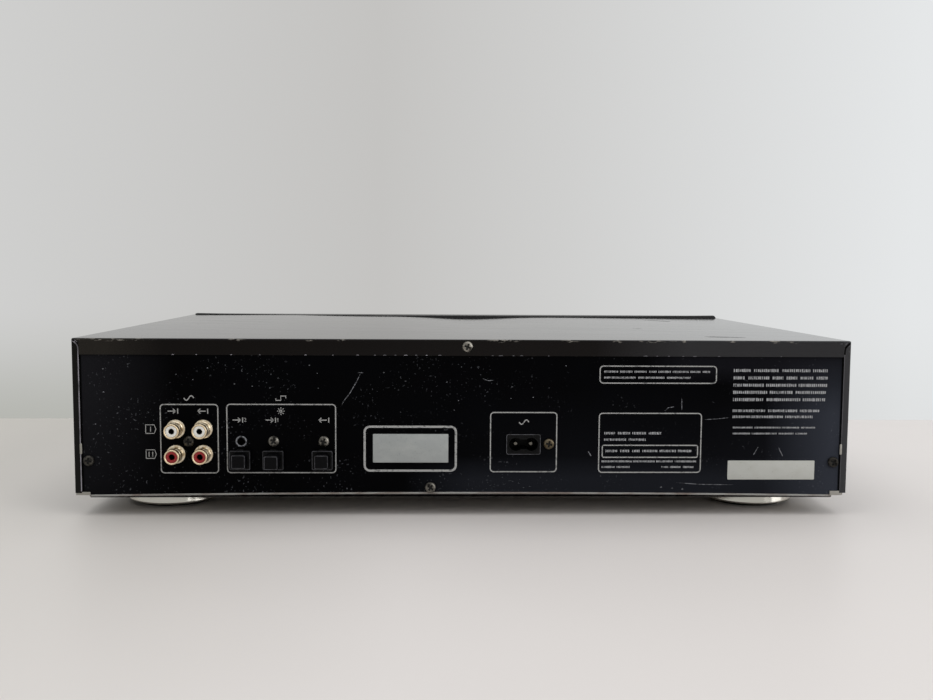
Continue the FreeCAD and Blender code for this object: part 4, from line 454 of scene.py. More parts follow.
# gold over nickel on turned brass: pale, warm, slightly tarnished, with a painted highlight at the rim
phonoGold = newLook("goldPlatedBrass", "#E6DAC4", 0.26, 1)
tarnish = mottle(1.7, 0.42, 0.7)
tint(tarnish, "#B09A72", 0.7)
roughen(tarnish, 0.42)
# painted highlight along the shell's front rim
tint(beyond("Y", 153, 154.2), "#F0D9B4", 0.7)

# moulded polypropylene inserts: white yellowed a little, red slightly faded
insertWhite = newLook("whitePolypropylene", "#E9E7E0", 0.34, Subsurface_Weight=0.08,
                      Subsurface_Radius=(0.0006, 0.0005, 0.0004))
tint(mottle(1.4, 0.5, 0.8), "#C9C4B6", 0.4)
insertRed = newLook("redPolypropylene", "#90171A", 0.34)
tint(mottle(1.4, 0.45, 0.75), "#7A1216", 0.5)

# nickel-plated brass pins, darkened as painted shade since they sit deep in the inlet
shadedPinNickel = newLook("nickelPlatedBrass", "#6E6B64", 0.3, 1)
roughen(mottle(1, 0.4, 0.7), 0.36)

# silk-screened ink: warm grey, a little broken by wear; the small rows are fainter, and scratches bare the primer
printInk = newLook("silkScreenInk", "#A3A3A1", 0.6, Specular_IOR_Level=0.3)
tint(mottle((1.6, 1.6, 1.1), 0.55, 0.66, detail=5), "#2B2C30", 0.62)
faintInk = newLook("wornSilkScreenInk", "#A2A3A5", 0.6, Specular_IOR_Level=0.3)
tint(mottle(1.4, 0.54, 0.68, detail=5), "#26272B", 0.8)
scratchLook = newLook("bareScratchedPaint", "#77797E", 0.55)
tint(mottle(1.3, 0.46, 0.6, detail=5), "#1B1C21")

# pad-printed ink of the front: pale grey on keys and scales, and the red of the record sign
keyInk = newLook("padPrintedInk", "#B9BABC", 0.5, Specular_IOR_Level=0.35)
tint(mottle(1.2, 0.6, 0.72, detail=5), "#77787B", 0.6)
recordInk = newLook("padPrintedRedInk", "#A8242A", 0.5, Specular_IOR_Level=0.35)
tint(mottle(1.2, 0.6, 0.72, detail=5), "#6E1A1E", 0.6)
# red polycarbonate of the power lamp, clear and glossy
lampRed = newLook("tintedPolycarbonateLens", "#5E1216", 0.12, Coat_Weight=0.3)
roughen(mottle(0.8, 0.4, 0.7), 0.22)
# unlit phosphor cells: pale blue-grey powder on the tube's grid
phosphor = newLook("unlitZincOxidePhosphor", "#93A0A2", 0.8)
tint(mottle(0.5, 0.4, 0.6), "#7F8C8E", 0.7)

# metallised foil label: silver-grey with fine dark speckle from handling
foilLabel = newLook("metallisedFoilLabel", "#A0A4A3", 0.42, 0.25)
tint(specks(1.1, 0.3, 0.5), "#6F7270", 0.3)
tint(mottle((9, 9, 6), 0.45, 0.75), "#B9BCB8", 0.4)

# matt paper label, gone slightly yellow, with grey specks
paperLabel = newLook("coatedPaperLabel", "#BBBCB6", 0.62, Specular_IOR_Level=0.3)
tint(mottle((8, 8, 5), 0.45, 0.75), "#AEAEA5", 0.5)
tint(specks(1.4, 0.22, 0.3), "#7D7C72", 0.35)
relief(mottle(0.25, 0.3, 0.7), 0.006)

# paper-phenolic circuit board under green solder mask: copper tracks as raised lines, pads one tenth of an inch apart
boardGreen = newLook("solderMaskedBoard", "#1F5A34", 0.36)
cell = addNode("TexVoronoi", {"Vector": stretched((5, 5, 60)), "Scale": 1}, "Distance", distance="CHEBYCHEV")
tracks = addNode("Math", {0: cell, 1: 0.42}, operation="GREATER_THAN")
tint(tracks, "#2F7A48", 0.75)
relief(tracks, 0.03)
pads = specks(2.54, 0.2, 0.35)
tint(pads, "#B9B4A2")
lay("Metallic", pads, 0.9)

# filled epoxy of chip packages: black, faintly gritty
chipEpoxy = newLook("filledEpoxy", "#15161A", 0.55)
relief(mottle(0.2, 0.3, 0.7), 0.006)
tint(mottle(7, 0.5, 0.7), "#202226", 0.4)

# shrink sleeve on the capacitors, paler in stripes
sleeve = newLook("shrinkSleevePvc", "#1D2730", 0.3)
tint(mottle((3, 3, 60), 0.6, 0.62), "#7F8C96", 0.6)

# laminated core steel in sheets of 0.5 mm, and its taped coil, which stands out at both ends of the core
coreIron = newLook("laminatedCoreSteel", "#3A3632", 0.55, 0.8)
sheets = addNode("TexWave", {"Vector": stretched((9, 3.14, 9)), "Scale": 1}, "Fac", bands_direction="Y")
relief(sheets, 0.03)
tint(sheets, "#55504A", 0.5)
coil = addNode("Math", {0: beyond("Y", 52.3, 52.1), 1: beyond("Y", 82.5, 82.7)}, operation="MAXIMUM")
tint(coil, "#C99A2E")
lay("Metallic", coil, 0)
roughen(coil, 0.3)

# soda-lime glass of the display tube, dark behind its woven grid
tubeGlass = newLook("sodaLimeTubeGlass", "#20262A", 0.08, Specular_IOR_Level=0.6)
weave = addNode("TexWave", {"Vector": stretched(3.4), "Scale": 1}, "Fac", bands_direction="DIAGONAL")
tint(weave, "#39454A", 0.4)

# smoked acrylic window
windowPane = newLook("smokedAcrylic", "#090A0C", 0.05, Alpha=0.42, IOR=1.49)
roughen(mottle((30, 30, 12), 0.5, 0.75), 0.12)

# folded mechanism steel, die-cast parts, ground rods, acetal gears, drawn motor cans, coated lens
mechSteel = newLook("coldRolledZincSteel", "#8F9294", 0.36, 1)
roughen(mottle((18, 1.2, 8), 0.35, 0.65), 0.48)
relief(mottle((12, 0.6, 3), 0.3, 0.7), 0.004)
mechCast = newLook("dieCastAluminium", "#777876", 0.52, 1)
relief(mottle(0.6, 0.3, 0.7), 0.03)
tint(mottle(5, 0.4, 0.7), "#5F605E", 0.5)
rodSteel = newLook("groundSilverSteel", "#C6C8CA", 0.12, 1, Anisotropic=0.4)
roughen(mottle((0.4, 8, 8), 0.4, 0.7), 0.24)
gearAcetal = newLook("naturalAcetal", "#D9D6CC", 0.38, Subsurface_Weight=0.1,
                     Subsurface_Radius=(0.001, 0.0009, 0.0007))
tint(mottle(3, 0.5, 0.75), "#BDB8A6", 0.4)
motorCan = newLook("drawnNickelCan", "#AEB0B0", 0.25, 1)
roughen(mottle((1, 6, 1), 0.4, 0.7), 0.38)
lensGlass = newLook("coatedLensGlass", "#4A6FA0", 0.04, Specular_IOR_Level=0.9, Coat_Weight=0.6,
                    Coat_Tint=linear("#8FB4FF"))
roughen(mottle(0.8, 0.5, 0.8), 0.1)

# moulded ABS keys and knobs, and the dust plugs of moulded polyethylene
keyAbs = newLook("satinAbsKeys", "#1A1A1C", 0.34)
relief(mottle(0.4, 0.3, 0.7), 0.006)
roughen(mottle(6, 0.45, 0.7), 0.44)
plugPlastic = newLook("mouldedPolyethylene", "#050507", 0.4, Specular_IOR_Level=0.08)
relief(mottle(0.5, 0.3, 0.7), 0.012)
tint(mottle(2.2, 0.55, 0.75), "#101014", 0.4)
print("finishes ready")

# the nodes that keep their own shape take their finish here
dress(panelPaint, "rear_panel")
dress(panSteel, "bottom_chassis")
dress(frontAbs, "front_panel", "slot_door")
dress(zincSteel, "foot_screws", "slot_door_pin")
dress(socketPbt, "phono_jack_block", "optical_jacks", "mains_inlet", "headphone_jack", "rotary_controls",
      "board_switches")
dress(shadedPinNickel, "mains_inlet_pins")
dress(boardGreen, "main_board", "power_board", "display_board")
dress(chipEpoxy, "board_chips")
dress(sleeve, "board_capacitors")
dress(coreIron, "power_transformer")
dress(tubeGlass, "display_tube")
dress(windowPane, "display_window")
dress(mechSteel, "mech_bracket", "mech_chassis", "cartridge_holder", "head_arm")
dress(padRubber, "mech_dampers", "foot_pads")
dress(mechCast, "optical_pickup")
dress(rodSteel, "guide_rods", "lead_screw")
dress(gearAcetal, "loading_gear", "motor_pinion", "cam_slider")
dress(motorCan, "loading_motor", "spindle_motor", "sled_motor", "turntable")
dress(lensGlass, "pickup_lens")
dress(keyAbs, *[name for name in nodes if name.endswith("_button")], "timer_switch")
dress(plugPlastic, "optical_dust_plug_1", "optical_dust_plug_2", "optical_dust_plug_3")
print("frame dressed")

# folded cover: halfWidth and top are its outside, hem and turnedIn how far it is folded down and in at the rear, bow,
# lean, dip and hollow the heights of its crown, and chipped the knocks along its fold as (x, width)
cover = dict(halfWidth=215.4, top=99.1, sheet=0.8, bend=0.9, hem=9, turnedIn=3.8, bow=0.3, dip=1.25, hollow=0.4,
             lean=0.5, seam=0.42, chipReach=0.8,
             chipped=[(192, 22), (126, 5), (85, 3), (68, 3), (-21, 10), (-58, 5), (-84, 4), (-103, 9), (-121, 5),
                      (-148, 4), (-172, 5), (-184, 5)])
flatX, flatZ = cover["halfWidth"] - cover["bend"], cover["top"] - cover["bend"]
runEnd = deck["rear"] - cover["bend"]


def coverSection():
    # across the cover, one row for each point: x, z, the normal's x and z, and how far it folds down or in at the rear
    wide, turnedIn, seam = cover["halfWidth"], cover["turnedIn"], cover["seam"]
    inner = wide - turnedIn
    sideZ = np.concatenate([[13.2, 13.5, 14.2, 15.5, 18], np.linspace(24, 86, 10), [90],
                            flatZ - np.array([5, 3.6, 2.7, 2, 1.3, 0.7, 0.3, 0])])
    rightX = np.concatenate([np.linspace(0, 198, 45), [204, 208, 210.3, inner - 0.02, inner + 0.02, inner + 0.9,
                                                       inner + 1.7, inner + 2.3, flatX]])
    topX = np.concatenate([-rightX[:0:-1], rightX])
    turn = np.linspace(0, np.pi / 2, 7)[1:-1]
    folded = np.clip(flatZ - sideZ - seam, 0, turnedIn - cover["bend"])
    side = np.stack([0 * sideZ - wide, sideZ, 0 * sideZ - 1, 0 * sideZ, folded], -1)
    corner = np.stack([-flatX - cover["bend"] * np.cos(turn), flatZ + cover["bend"] * np.sin(turn), -np.cos(turn),
                       np.sin(turn), 0 * turn], -1)
    folded = np.where(np.abs(topX) < inner, cover["hem"] - cover["bend"], np.clip(flatX - np.abs(topX) - seam, 0, None))
    top = np.stack([topX, 0 * topX + cover["top"], 0 * topX, 0 * topX + 1, folded], -1)
    left = np.concatenate([side, corner])
    return np.concatenate([left, top, left[::-1] * [-1, 1, -1, 1, 1]])


def coverSheet():
    # the section runs back along Y, turns down and goes straight on: while it turns, a point is
    # section - normal * bend * (1 - cos turn) + Y * bend * sin turn; wear is strongest near folds, edges and knocks
    x, z, nx, nz, drop = [column[:, None] for column in coverSection().T]
    front, bend, reach = deck["coverFront"], cover["bend"], cover["chipReach"]
    run = np.concatenate([front + np.array([0, 0.4, 1, 2.2, 5]), np.linspace(front + 12, runEnd - 8, 26),
                          runEnd - np.array([4, 2.2, 1.2, 0.5, 0])])
    fold = np.linspace(0, np.pi / 2, 9)[1:]
    down = np.linspace(0, 1, 16)[1:]
    y = np.concatenate([run, runEnd + bend * np.sin(fold), 0 * down + deck["rear"]])[None, :]
    part = np.concatenate([0 * run, 0 * fold, down])[None, :]
    inward = np.concatenate([0 * run, bend * (1 - np.cos(fold)), 0 * down + bend])[None, :] + drop * part
    # the crown leans to +X, has a dip in the middle and a shallow hollow beside it, and fades towards the rear
    crown = cover["bow"] + cover["lean"] * np.sin(np.pi * x / 430) - cover["dip"] * np.exp(-((x + 8) / 38) ** 2)
    crown = crown - cover["hollow"] * np.exp(-((x - 80) / 45) ** 2)
    crown = crown * np.clip((runEnd - y) / (runEnd - front), 0, 1)
    surface = np.stack([x - nx * inward + 0 * y, y + 0 * x, z - nz * inward + nz * crown], -1)

    knocks = np.max([np.exp(-((x - place) / width) ** 2) for place, width in cover["chipped"]], axis=0)
    fromFold = np.maximum(runEnd - y, 0) + drop * part - 0.25 * reach * knocks
    fromHemEdge = np.where(y >= deck["rear"] - 1e-6, drop * (1 - part), 99)
    fromBottom = np.where((nz == 0) & (y < runEnd), z - deck["coverLow"], 99)
    fromSide = np.where(nz > 0, np.maximum(flatX - np.abs(x), 0), np.maximum(flatZ - z, 0)) + 0 * y
    wear = np.max([np.exp(-np.abs(fromFold) / reach) * (0.25 + 0.75 * knocks), 0.5 * np.exp(-fromHemEdge / 0.5),
                   0.5 * np.exp(-fromBottom / reach), 0.4 * np.exp(-(y - front + 0 * x) / reach),
                   0.4 * np.exp(-fromSide / reach)], axis=0)
    return thickGrid(surface, cover["sheet"]), np.tile(wear.ravel(), 2)


sheet, sheetWear = coverSheet()
coverPiece = makePiece("folded_cover", [sheet], coverPaint, "cover_paint", sharp=28, wear=sheetWear)
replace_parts(coverPiece, "top_cover")

# the return's cut edge catches the light, drawn as a painted highlight: a fine pale line down its inner side, from the
# corner's slanting seam
edgeX = cover["halfWidth"] - cover["turnedIn"]
edgeHighlightLines = [ribbon([(side * (cover["halfWidth"] - 1.5), flatZ - 0.9), (side * (edgeX + 0.7), flatZ - 2.7),
                     (side * (edgeX + 0.25), flatZ - 3.9), (side * (edgeX + 0.15), flatZ - 6),
                     (side * (edgeX + 0.15), 14.2)], width, (145.3, 145.43)) for side, width in ((1, 0.55), (-1, 0.3))]
makePiece("return_edge_highlights", edgeHighlightLines, cutEdgeWearAndGlint, "cover_paint")
# the corner's slanting seam, drawn as a black painted shadow of its gap
seamPath = [(-214.8, 98.1), (-213.5, 96.7), (-212.3, 95.3), (-211.9, 94.2), (-211.75, 91.5)]
makePiece("corner_seam", [ribbon(seamPath, 0.85, (145.3, 145.44))], seamGapShadow, "cover_paint")

# front panel's upper lip: a (y, z) bead along the panel's top, drawn in over its last 3.4 mm, sagging
# 1.25 * (1 - |x/215|^2.2) mm and a little more in two soft places
lip = dict(end=214.6, foot=98.6, crest=99.5, sag=1.25, endIn=np.array([0, 0.25, 0.9, 2, 3.4]),
           endRise=[0.25, 0.62, 0.9, 1, 1], soft=[(0.3, 30, 70), (0.55, 85, 50)],
           profile=np.array([(-142.4, 98.6), (-142.35, 99.4), (-141.9, 99.85), (-141.1, 100), (-131, 100.5),
                             (-122.1, 100.95), (-121.4, 100.88), (-121.05, 100.6), (-120.95, 99)]))
beadY, beadZ = lip["profile"].T
stations = np.concatenate([lip["endIn"] - lip["end"], np.linspace(-205, 205, 42), lip["end"] - lip["endIn"][::-1]])
stations = stations[:, None]
rise = np.interp(lip["end"] - np.abs(stations), lip["endIn"], lip["endRise"])
sag = lip["sag"] * (1 - np.abs(stations / 215) ** 2.2)
for depth, middle, reach in lip["soft"]:
    sag = sag + depth * np.exp(-((stations - middle) / reach) ** 2)
lipZ = lip["foot"] + (beadZ - lip["foot"]) * rise - sag * (beadZ > lip["crest"])
bead = joined(np.stack([stations + 0 * lipZ, beadY + 0 * lipZ, lipZ], -1))
makePiece("front_lip_bead", [bead], frontAbs, "front_plastic")
print("cover folded")

# silk-screened frames and plain signs on the rear panel, all in (x, z): frames have a width and height, and a corner
# and line of their own; arrows point into or out of their wall
screen = dict(sign=0.55, thin=0.45,
              frames=[((x, z), w, h, 2.2, 0.6) for x, z, w, h in
                      ((152.3, 43.5, 32.1, 38.8), (101.7, 43.63, 60.45, 38.8), (-32.65, 41.8, 37.55, 34),
                       (-103.6, 41.47, 58, 34), (-107.5, 79.87, 65.8, 10.1))]
              + [((-103.7, 36.7), 54.3, 7.4, 1.2, 0.6), ((30.45, 38.05), 51.9, 25.9, 3.5, 1.2)],
              arrows=[(161.8, 58.9, True), (145.4, 58.9, False), (126.3, 54, True), (108.2, 54, True),
                      (78.9, 54, False)],
              numerals=[("2", (121.6, 54)), ("1", (103.6, 54))], sines=[(152.3, 66.2), (-32.8, 53.1)],
              squareWave=(101.9, 66.2), light=(101.9, 59), tags=[(173.5, 48.85), (173.5, 34.9)],
              tagBars=[(173.5, 50.2), (172.6, 36.2), (174.6, 36.2)])
squarePath = np.array([(-2.75, 0), (-2.75, 1.2), (0, 1.2), (0, -1.2), (2.75, -1.2), (2.75, 0)])
tagPath = np.array([(2.7, -2.4), (-2, -2.4), (-2.9, 0), (-2, 2.4), (2.7, 2.4), (2.7, -2.4)])


def arrow(x, z, inwards):
    # a bar with a pointed head and an upright wall; the head points at the wall when the signal goes in
    way = -1 if inwards else 1
    tip = x + way * 2.2
    return [ribbon([(x - 2.2, z), (x + 2.2, z)], screen["sign"]),
            ribbon([(tip - way * 1.5, z + 1.3), (tip, z), (tip - way * 1.5, z - 1.3)], screen["sign"]),
            ribbon([(x - 3.3, z - 1.4), (x - 3.3, z + 1.4)], screen["sign"])]


def sineSign(x, z):
    # one sine period
    t = np.linspace(0, 1, 25)
    return ribbon(np.stack([x + 2.7 * (2 * t - 1), z + 1.25 * np.sin(2 * np.pi * t)], -1), screen["sign"])


marks = [ringFrame(*frame) for frame in screen["frames"]] + [sineSign(*place) for place in screen["sines"]]
marks.append(ribbon(squarePath + screen["squareWave"], screen["sign"]))
marks.append(ringFrame(screen["light"], 1.7, 1.7, 0.8, 0.5))        # light: a small ring with eight rays
marks += [ribbon(onCircle(*screen["light"], (1.3, 2.1), 45 * k), screen["thin"]) for k in range(8)]
for place in screen["arrows"]:
    marks += arrow(*place)
marks += [writing(text, 2.2, place, facing=1) for text, place in screen["numerals"]]
marks += [ribbon(tagPath + place, screen["thin"]) for place in screen["tags"]]
marks += [ribbon([(x, z), (x, z - 2.7)], screen["thin"]) for x, z in screen["tagBars"]]
makePiece("panel_frames", marks, printInk)


def strokeRow(left, right, z, height, words, seed):
    # a printed row shown as plain strokes: words are a seeded share of the row and each holds even, narrow bars
    pick = np.random.default_rng(seed)
    gap, pitch = height * 0.85, height * 0.62
    share = pick.uniform(0.6, 1.5, words)
    length = share / share.sum() * (right - left - gap * (words - 1))
    start = left + np.concatenate([[0], np.cumsum(length[:-1] + gap)])
    begin = np.concatenate([np.arange(a, a + b - pitch * 0.5, pitch) for a, b in zip(start, length)])
    wide = pitch * pick.uniform(0.45, 0.8, len(begin))
    tall = height * pick.uniform(0.82, 1, len(begin)) / 2
    low = np.stack([-(begin + wide), 0 * begin + deck["ink"][0], z - tall], -1)
    high = np.stack([-begin, 0 * begin + deck["ink"][1], z + tall], -1)
    return boxes(low, high)


# rows of strokes: (left, right, z, height, words, seed), with left and right as seen from behind
strokes = {
    "panel_rows": [(149.8, 203.2, 82.4, 1.75, 4, 11), (149.8, 203.4, 78.25, 1.75, 6, 12),
                   (149.8, 203, 74.15, 1.75, 3, 13), (149.8, 202.6, 70.15, 1.75, 3, 14),
                   (149.8, 202.2, 66.05, 1.75, 3, 15), (149.8, 199.4, 59.75, 1.5, 3, 16),
                   (149.8, 195.2, 56.35, 1.5, 2, 17), (150.2, 196.8, 50.25, 1, 4, 18),
                   (150.2, 192.2, 46.85, 1, 4, 19)],
    "panel_small_rows": [(77.2, 136.6, 81.55, 1.15, 8, 21), (77.2, 125.6, 78.2, 1.15, 3, 22),
                         (77.8, 110.4, 46.95, 1.45, 4, 24), (77.8, 101.6, 43.3, 1.35, 2, 25),
                         (78.6, 127, 36.9, 1.4, 6, 26), (76.6, 130, 31, 1.1, 4, 27),
                         (76.6, 92.9, 27.8, 1.1, 2, 28), (110.4, 129, 27.8, 1.1, 3, 29)]}
for name, rows in strokes.items():
    makePiece(name, [strokeRow(*row) for row in rows], faintInk, smooth=False)

# the metallised plate and the small paper label: (middle, width, height, depths, corner, rounded edge), look
labels = {"foil_plate": (((30.25, 38.3), 41.9, 16.05, (144.58, 144.72), 0.3, 0.05), foilLabel),
          "paper_label": (((-172.45, 26.1), 49.3, 10.8, (144.58, 144.7), 0.5, 0.04), paperLabel)}
for name, (size, look) in labels.items():
    makePiece(name, [roundedBlock(*size)], look)
print("panel printed")

# wear: scratches are (points, width) and flecks (x, z, size) on the panel; knocks sit at the cover's rear corners,
# specks (x, length) along the hem's lower edge, and dull scuffs (points, width, height) on the cover's top in (x, y)
chipDepth, knockDepth, speckDepth = (144.585, 144.615), (145.42, 145.46), (145.41, 145.45)
scratches = [([(57.7, 80.8), (59.8, 76.1), (63.9, 69), (67.1, 65), (68.5, 62.2)], 0.38),
             ([(59.7, 80.5), (56.3, 80.5)], 0.35), ([(-9.5, 77.5), (-12.5, 76.3), (-16, 76.5)], 0.3),
             ([(-121, 66.6), (-121.1, 60.1)], 0.35), ([(-111.6, 59.5), (-113.5, 61.4), (-116.9, 61.9)], 0.35),
             ([(-134.3, 54.7), (-141, 55.1), (-148, 55.9)], 0.3), ([(-68.9, 36.8), (-70.7, 33.9)], 0.5),
             ([(-164.9, 39.4), (-162.2, 34.6)], 0.4), ([(-176.4, 39), (-179, 33.8)], 0.4),
             ([(-118.9, 18.9), (-132.6, 17.9), (-151.1, 17.7)], 0.3)]
flecks = [(141.8, 82.9, 0.9), (149.9, 76.4, 0.7), (103.2, 77.4, 1.2), (117.5, 72.8, 0.8), (159.1, 79.3, 0.7),
          (86.1, 84.5, 0.9), (81.8, 80.1, 0.7), (33, 75.9, 0.8), (10.3, 75.4, 0.9), (3.8, 65.1, 0.8),
          (6.1, 59.8, 0.7), (2.2, 83.9, 0.7), (35.9, 58.6, 0.8), (203.5, 51.6, 0.9), (198.7, 69.4, 1),
          (-25.9, 72.9, 0.8), (-25.4, 66.4, 0.7), (-37.8, 67, 0.9), (-46.6, 72.3, 0.8), (-55.8, 84.7, 0.9),
          (-110.5, 16.3, 1.2), (-116.8, 15.7, 1), (-122.5, 15.2, 1.1)]
grit = np.random.default_rng(7)                                     # a patch of fine grit beside the low screw
gritX, gritZ = grit.normal(-16, 11, 40), 14.2 + grit.exponential(3.4, 40)
flecks += [fleck for fleck in zip(gritX, gritZ, grit.uniform(0.22, 0.5, 40)) if fleck[1] < 27]
knocked = [([(-215, 96.9), (-213.6, 95.7)], 0.35), ([(-213.2, 98.2), (-211.9, 97)], 0.35),
           ([(-210.6, 97.6), (-209, 97.5)], 0.3), ([(-214.9, 94), (-214.2, 92.6)], 0.3),
           ([(214.9, 97.7), (213, 96.2)], 0.35), ([(213.6, 98.2), (211.9, 96.9)], 0.3)]
hemSpecks = [(160.4, 1.3), (147.6, 0.8), (128.6, 1), (113, 0.8), (88, 1.4), (73, 0.8), (59.5, 1.6),
             (50, 1), (44.5, 1.8), (38.6, 1), (33, 2.2), (27.2, 1.2), (21.5, 1), (14.2, 2), (-15, 1.2),
             (-19.5, 2.6), (-26.5, 1.2), (-31, 1.8), (-46, 0.8), (-100, 2.6), (-106.5, 1), (-113, 1.4),
             (-121, 1), (-127.5, 2.2), (-141, 1.4), (-176, 0.8)]
topScuffs = [([(-141.5, 113), (-149, 115.5), (-157, 117), (-164.5, 117.5)], 5, 99.08),
             ([(-146, -78), (-151, -75), (-156.5, -68), (-161.5, -58)], 3.6, 98.99),
             ([(-111, 33), (-115.5, 36), (-120.5, 37.5)], 2.8, 99.04)]


def scratch(points, width, depth=chipDepth):
    # the line's points are resampled evenly and its width falls to nothing at both ends
    points = np.asarray(points, float)
    along = np.concatenate([[0], np.cumsum(np.linalg.norm(np.diff(points, axis=0), axis=1))])
    t = np.linspace(0, along[-1], 16)
    path = np.stack([np.interp(t, along, column) for column in points.T], -1)
    return ribbon(path, width * np.clip(np.sin(np.pi * np.linspace(0.02, 0.98, 16)) * 1.6, 0.15, 1), depth)


def fleck(x, z, size):
    # an irregular chip: a small polygon whose radius varies with its angle and place
    a = np.linspace(0, 2 * np.pi, 7, endpoint=False)
    reach = size / 2 * (0.7 + 0.3 * np.sin(3.1 * a + x))
    return plate(np.stack([x + reach * np.cos(a) * 1.3, z + reach * np.sin(a) * 0.8], -1), chipDepth)


def topScuff(points, width, z):
    # a scratch laid flat: its z becomes y, and its faces are turned to match
    points, faces = scratch(points, width, (z - 0.1, z + 0.03))
    return points[:, [0, 2, 1]], [face[::-1] for face in faces]


makePiece("paint_scratches", [scratch(*s) for s in scratches] + [fleck(*f) for f in flecks], scratchLook)
makePiece("corner_knocks", [scratch(*knock, knockDepth) for knock in knocked], cutEdgeWearAndGlint, "cover_paint")
specked = [scratch([(x - size / 2, 90.25), (x, 90.35 + 0.1 * math.sin(x)), (x + size / 2, 90.2)], 0.36, speckDepth)
           for x, size in hemSpecks]
makePiece("hem_edge_specks", specked, cutEdgeWearAndGlint, "cover_paint")
makePiece("cover_scuffs", [topScuff(*scuff) for scuff in topScuffs], scuffedPaint, "cover_paint")
print("wear drawn")

# phono sockets: turned shells with a stepped nut at the root, coloured inserts and centre contact wells
phono = dict(x=(144.6, 159.7), start=144.6, length=10, radius=4.15, bore=3.15,
             rows=[("lower", 34.9, 0.3, insertRed, "red_plastic", "phono_inserts_red"),
                   ("upper", 49, 0.05, insertWhite, "white_plastic", "phono_inserts_white")])
y0, y1, r, b = phono["start"], phono["start"] + phono["length"], phono["radius"], phono["bore"]
shell = [(b, y0), (b, y1 - 0.55), (b + 0.06, y1 - 0.3), (b + 0.2, y1 - 0.1), (b + 0.4, y1), (r - 0.4, y1),
         (r - 0.2, y1 - 0.06), (r - 0.06, y1 - 0.2), (r, y1 - 0.45), (r, y1 - 3), (r - 0.12, y1 - 3.12),
         (r - 0.12, y1 - 3.5), (r, y1 - 3.62), (r, y0 + 2.6), (r + 0.25, y0 + 2.35), (r + 0.25, y0 + 1.9),
         (r + 0.1, y0 + 1.7), (r + 0.1, y0 + 0.95), (5, y0 + 0.85), (5.14, y0 + 0.76), (5.2, y0 + 0.62),
         (5.2, y0 + 0.1), (5.14, y0)]
well = [(0.02, 145.6), (1.38, 145.6), (1.5, 145.75), (1.5, 153.3), (1.6, 153.35), (1.6, 145), (0.02, 145)]
sockets = [(x, 0, row[1]) for x in phono["x"] for row in phono["rows"]]
shells = makePiece("phono_shells_turned", [turnedShape(shell, at, steps=64) for at in sockets], phonoGold,
                   "phono_plating")
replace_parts(shells, "phono_jack_shells")
for row, z, sunk, look, finish, instead in phono["rows"]:
    y2 = y1 - sunk
    insert = [(1.62, y0), (1.62, y2 - 0.5), (1.67, y2 - 0.2), (1.8, y2 - 0.04), (2, y2), (2.5, y2 + 0.02),
              (b - 0.3, y2), (b - 0.12, y2 - 0.06), (b - 0.03, y2 - 0.2), (b - 0.03, y0)]
    inserts = [turnedShape(insert, (x, 0, z), steps=56) for x in phono["x"]]
    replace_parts(makePiece(f"phono_inserts_{row}", inserts, look, finish), instead)
makePiece("phono_contact_wells", [turnedShape(well, at, steps=32) for at in sockets], socketPbt, "black_moulding")

# optical sockets: a raised lip round each collar, a moulded key on its upper edge and two small feet; the plugs stand
# out of them by different lengths
optical = dict(x=(124.1, 105.9, 78.9), z=32.1, size=(11.3, 10.6), corner=0.8, plugOut=(8.5, 11.5, 9), plugFace=7.15)
collars = []
for x in optical["x"]:
    collars += [ringFrame((x, optical["z"]), *optical["size"], optical["corner"], 1.1, (147.4, 148.45)),
                roundedBlock((x, 37.55), 3.6, 0.8, (144.6, 147.9), 0.2, 0.15)]
    collars += [roundedBlock((x + side * 3.6, 26.75), 1.2, 0.6, (144.6, 147.6), 0.2, 0.15) for side in (-1, 1)]
makePiece("optical_collar_lips", collars, socketPbt, "black_moulding")

# the empty screw seat: a pressed rim with its bright bare edge
seat = [(2.2, 144.55), (2.45, 144.75), (2.75, 144.85), (3, 144.78), (3.15, 144.58)]
makePiece("bare_screw_seat", [turnedShape(seat, (123.9, 0, 42), steps=40)], scratchLook)

# pan-head screws with cross recesses: rear ones are (x, z, seat, turn in degrees, how far the blacking is rubbed), and
# two on each side of the cover are (y, turn)
screws = dict(radius=3, height=1.9, armLong=1.8, armHalf=0.5, deep=1.25, length=6.3, soft=0.12, thread=(1.5, 1.18),
              rear=[(-1.1, 95.1, deck["rear"], 20, 0.85), (19.2, 16.3, deck["panel"], 35, 0.42),
                    (207.5, 31.3, deck["panel"], 8, 0.16), (-207.5, 30.7, deck["panel"], 30, 0.08),
                    (152.6, 42.1, deck["panel"], 2, 0.14), (-46.8, 40.9, deck["panel"], 12, 0.26),
                    (106, 42.2, deck["panel"], 40, 0.62), (78.3, 42.2, deck["panel"], 18, 0.7)],
              sides=[(-88.6, 15), (113.4, 62)], sideZ=23, sideRubbed=0.5)


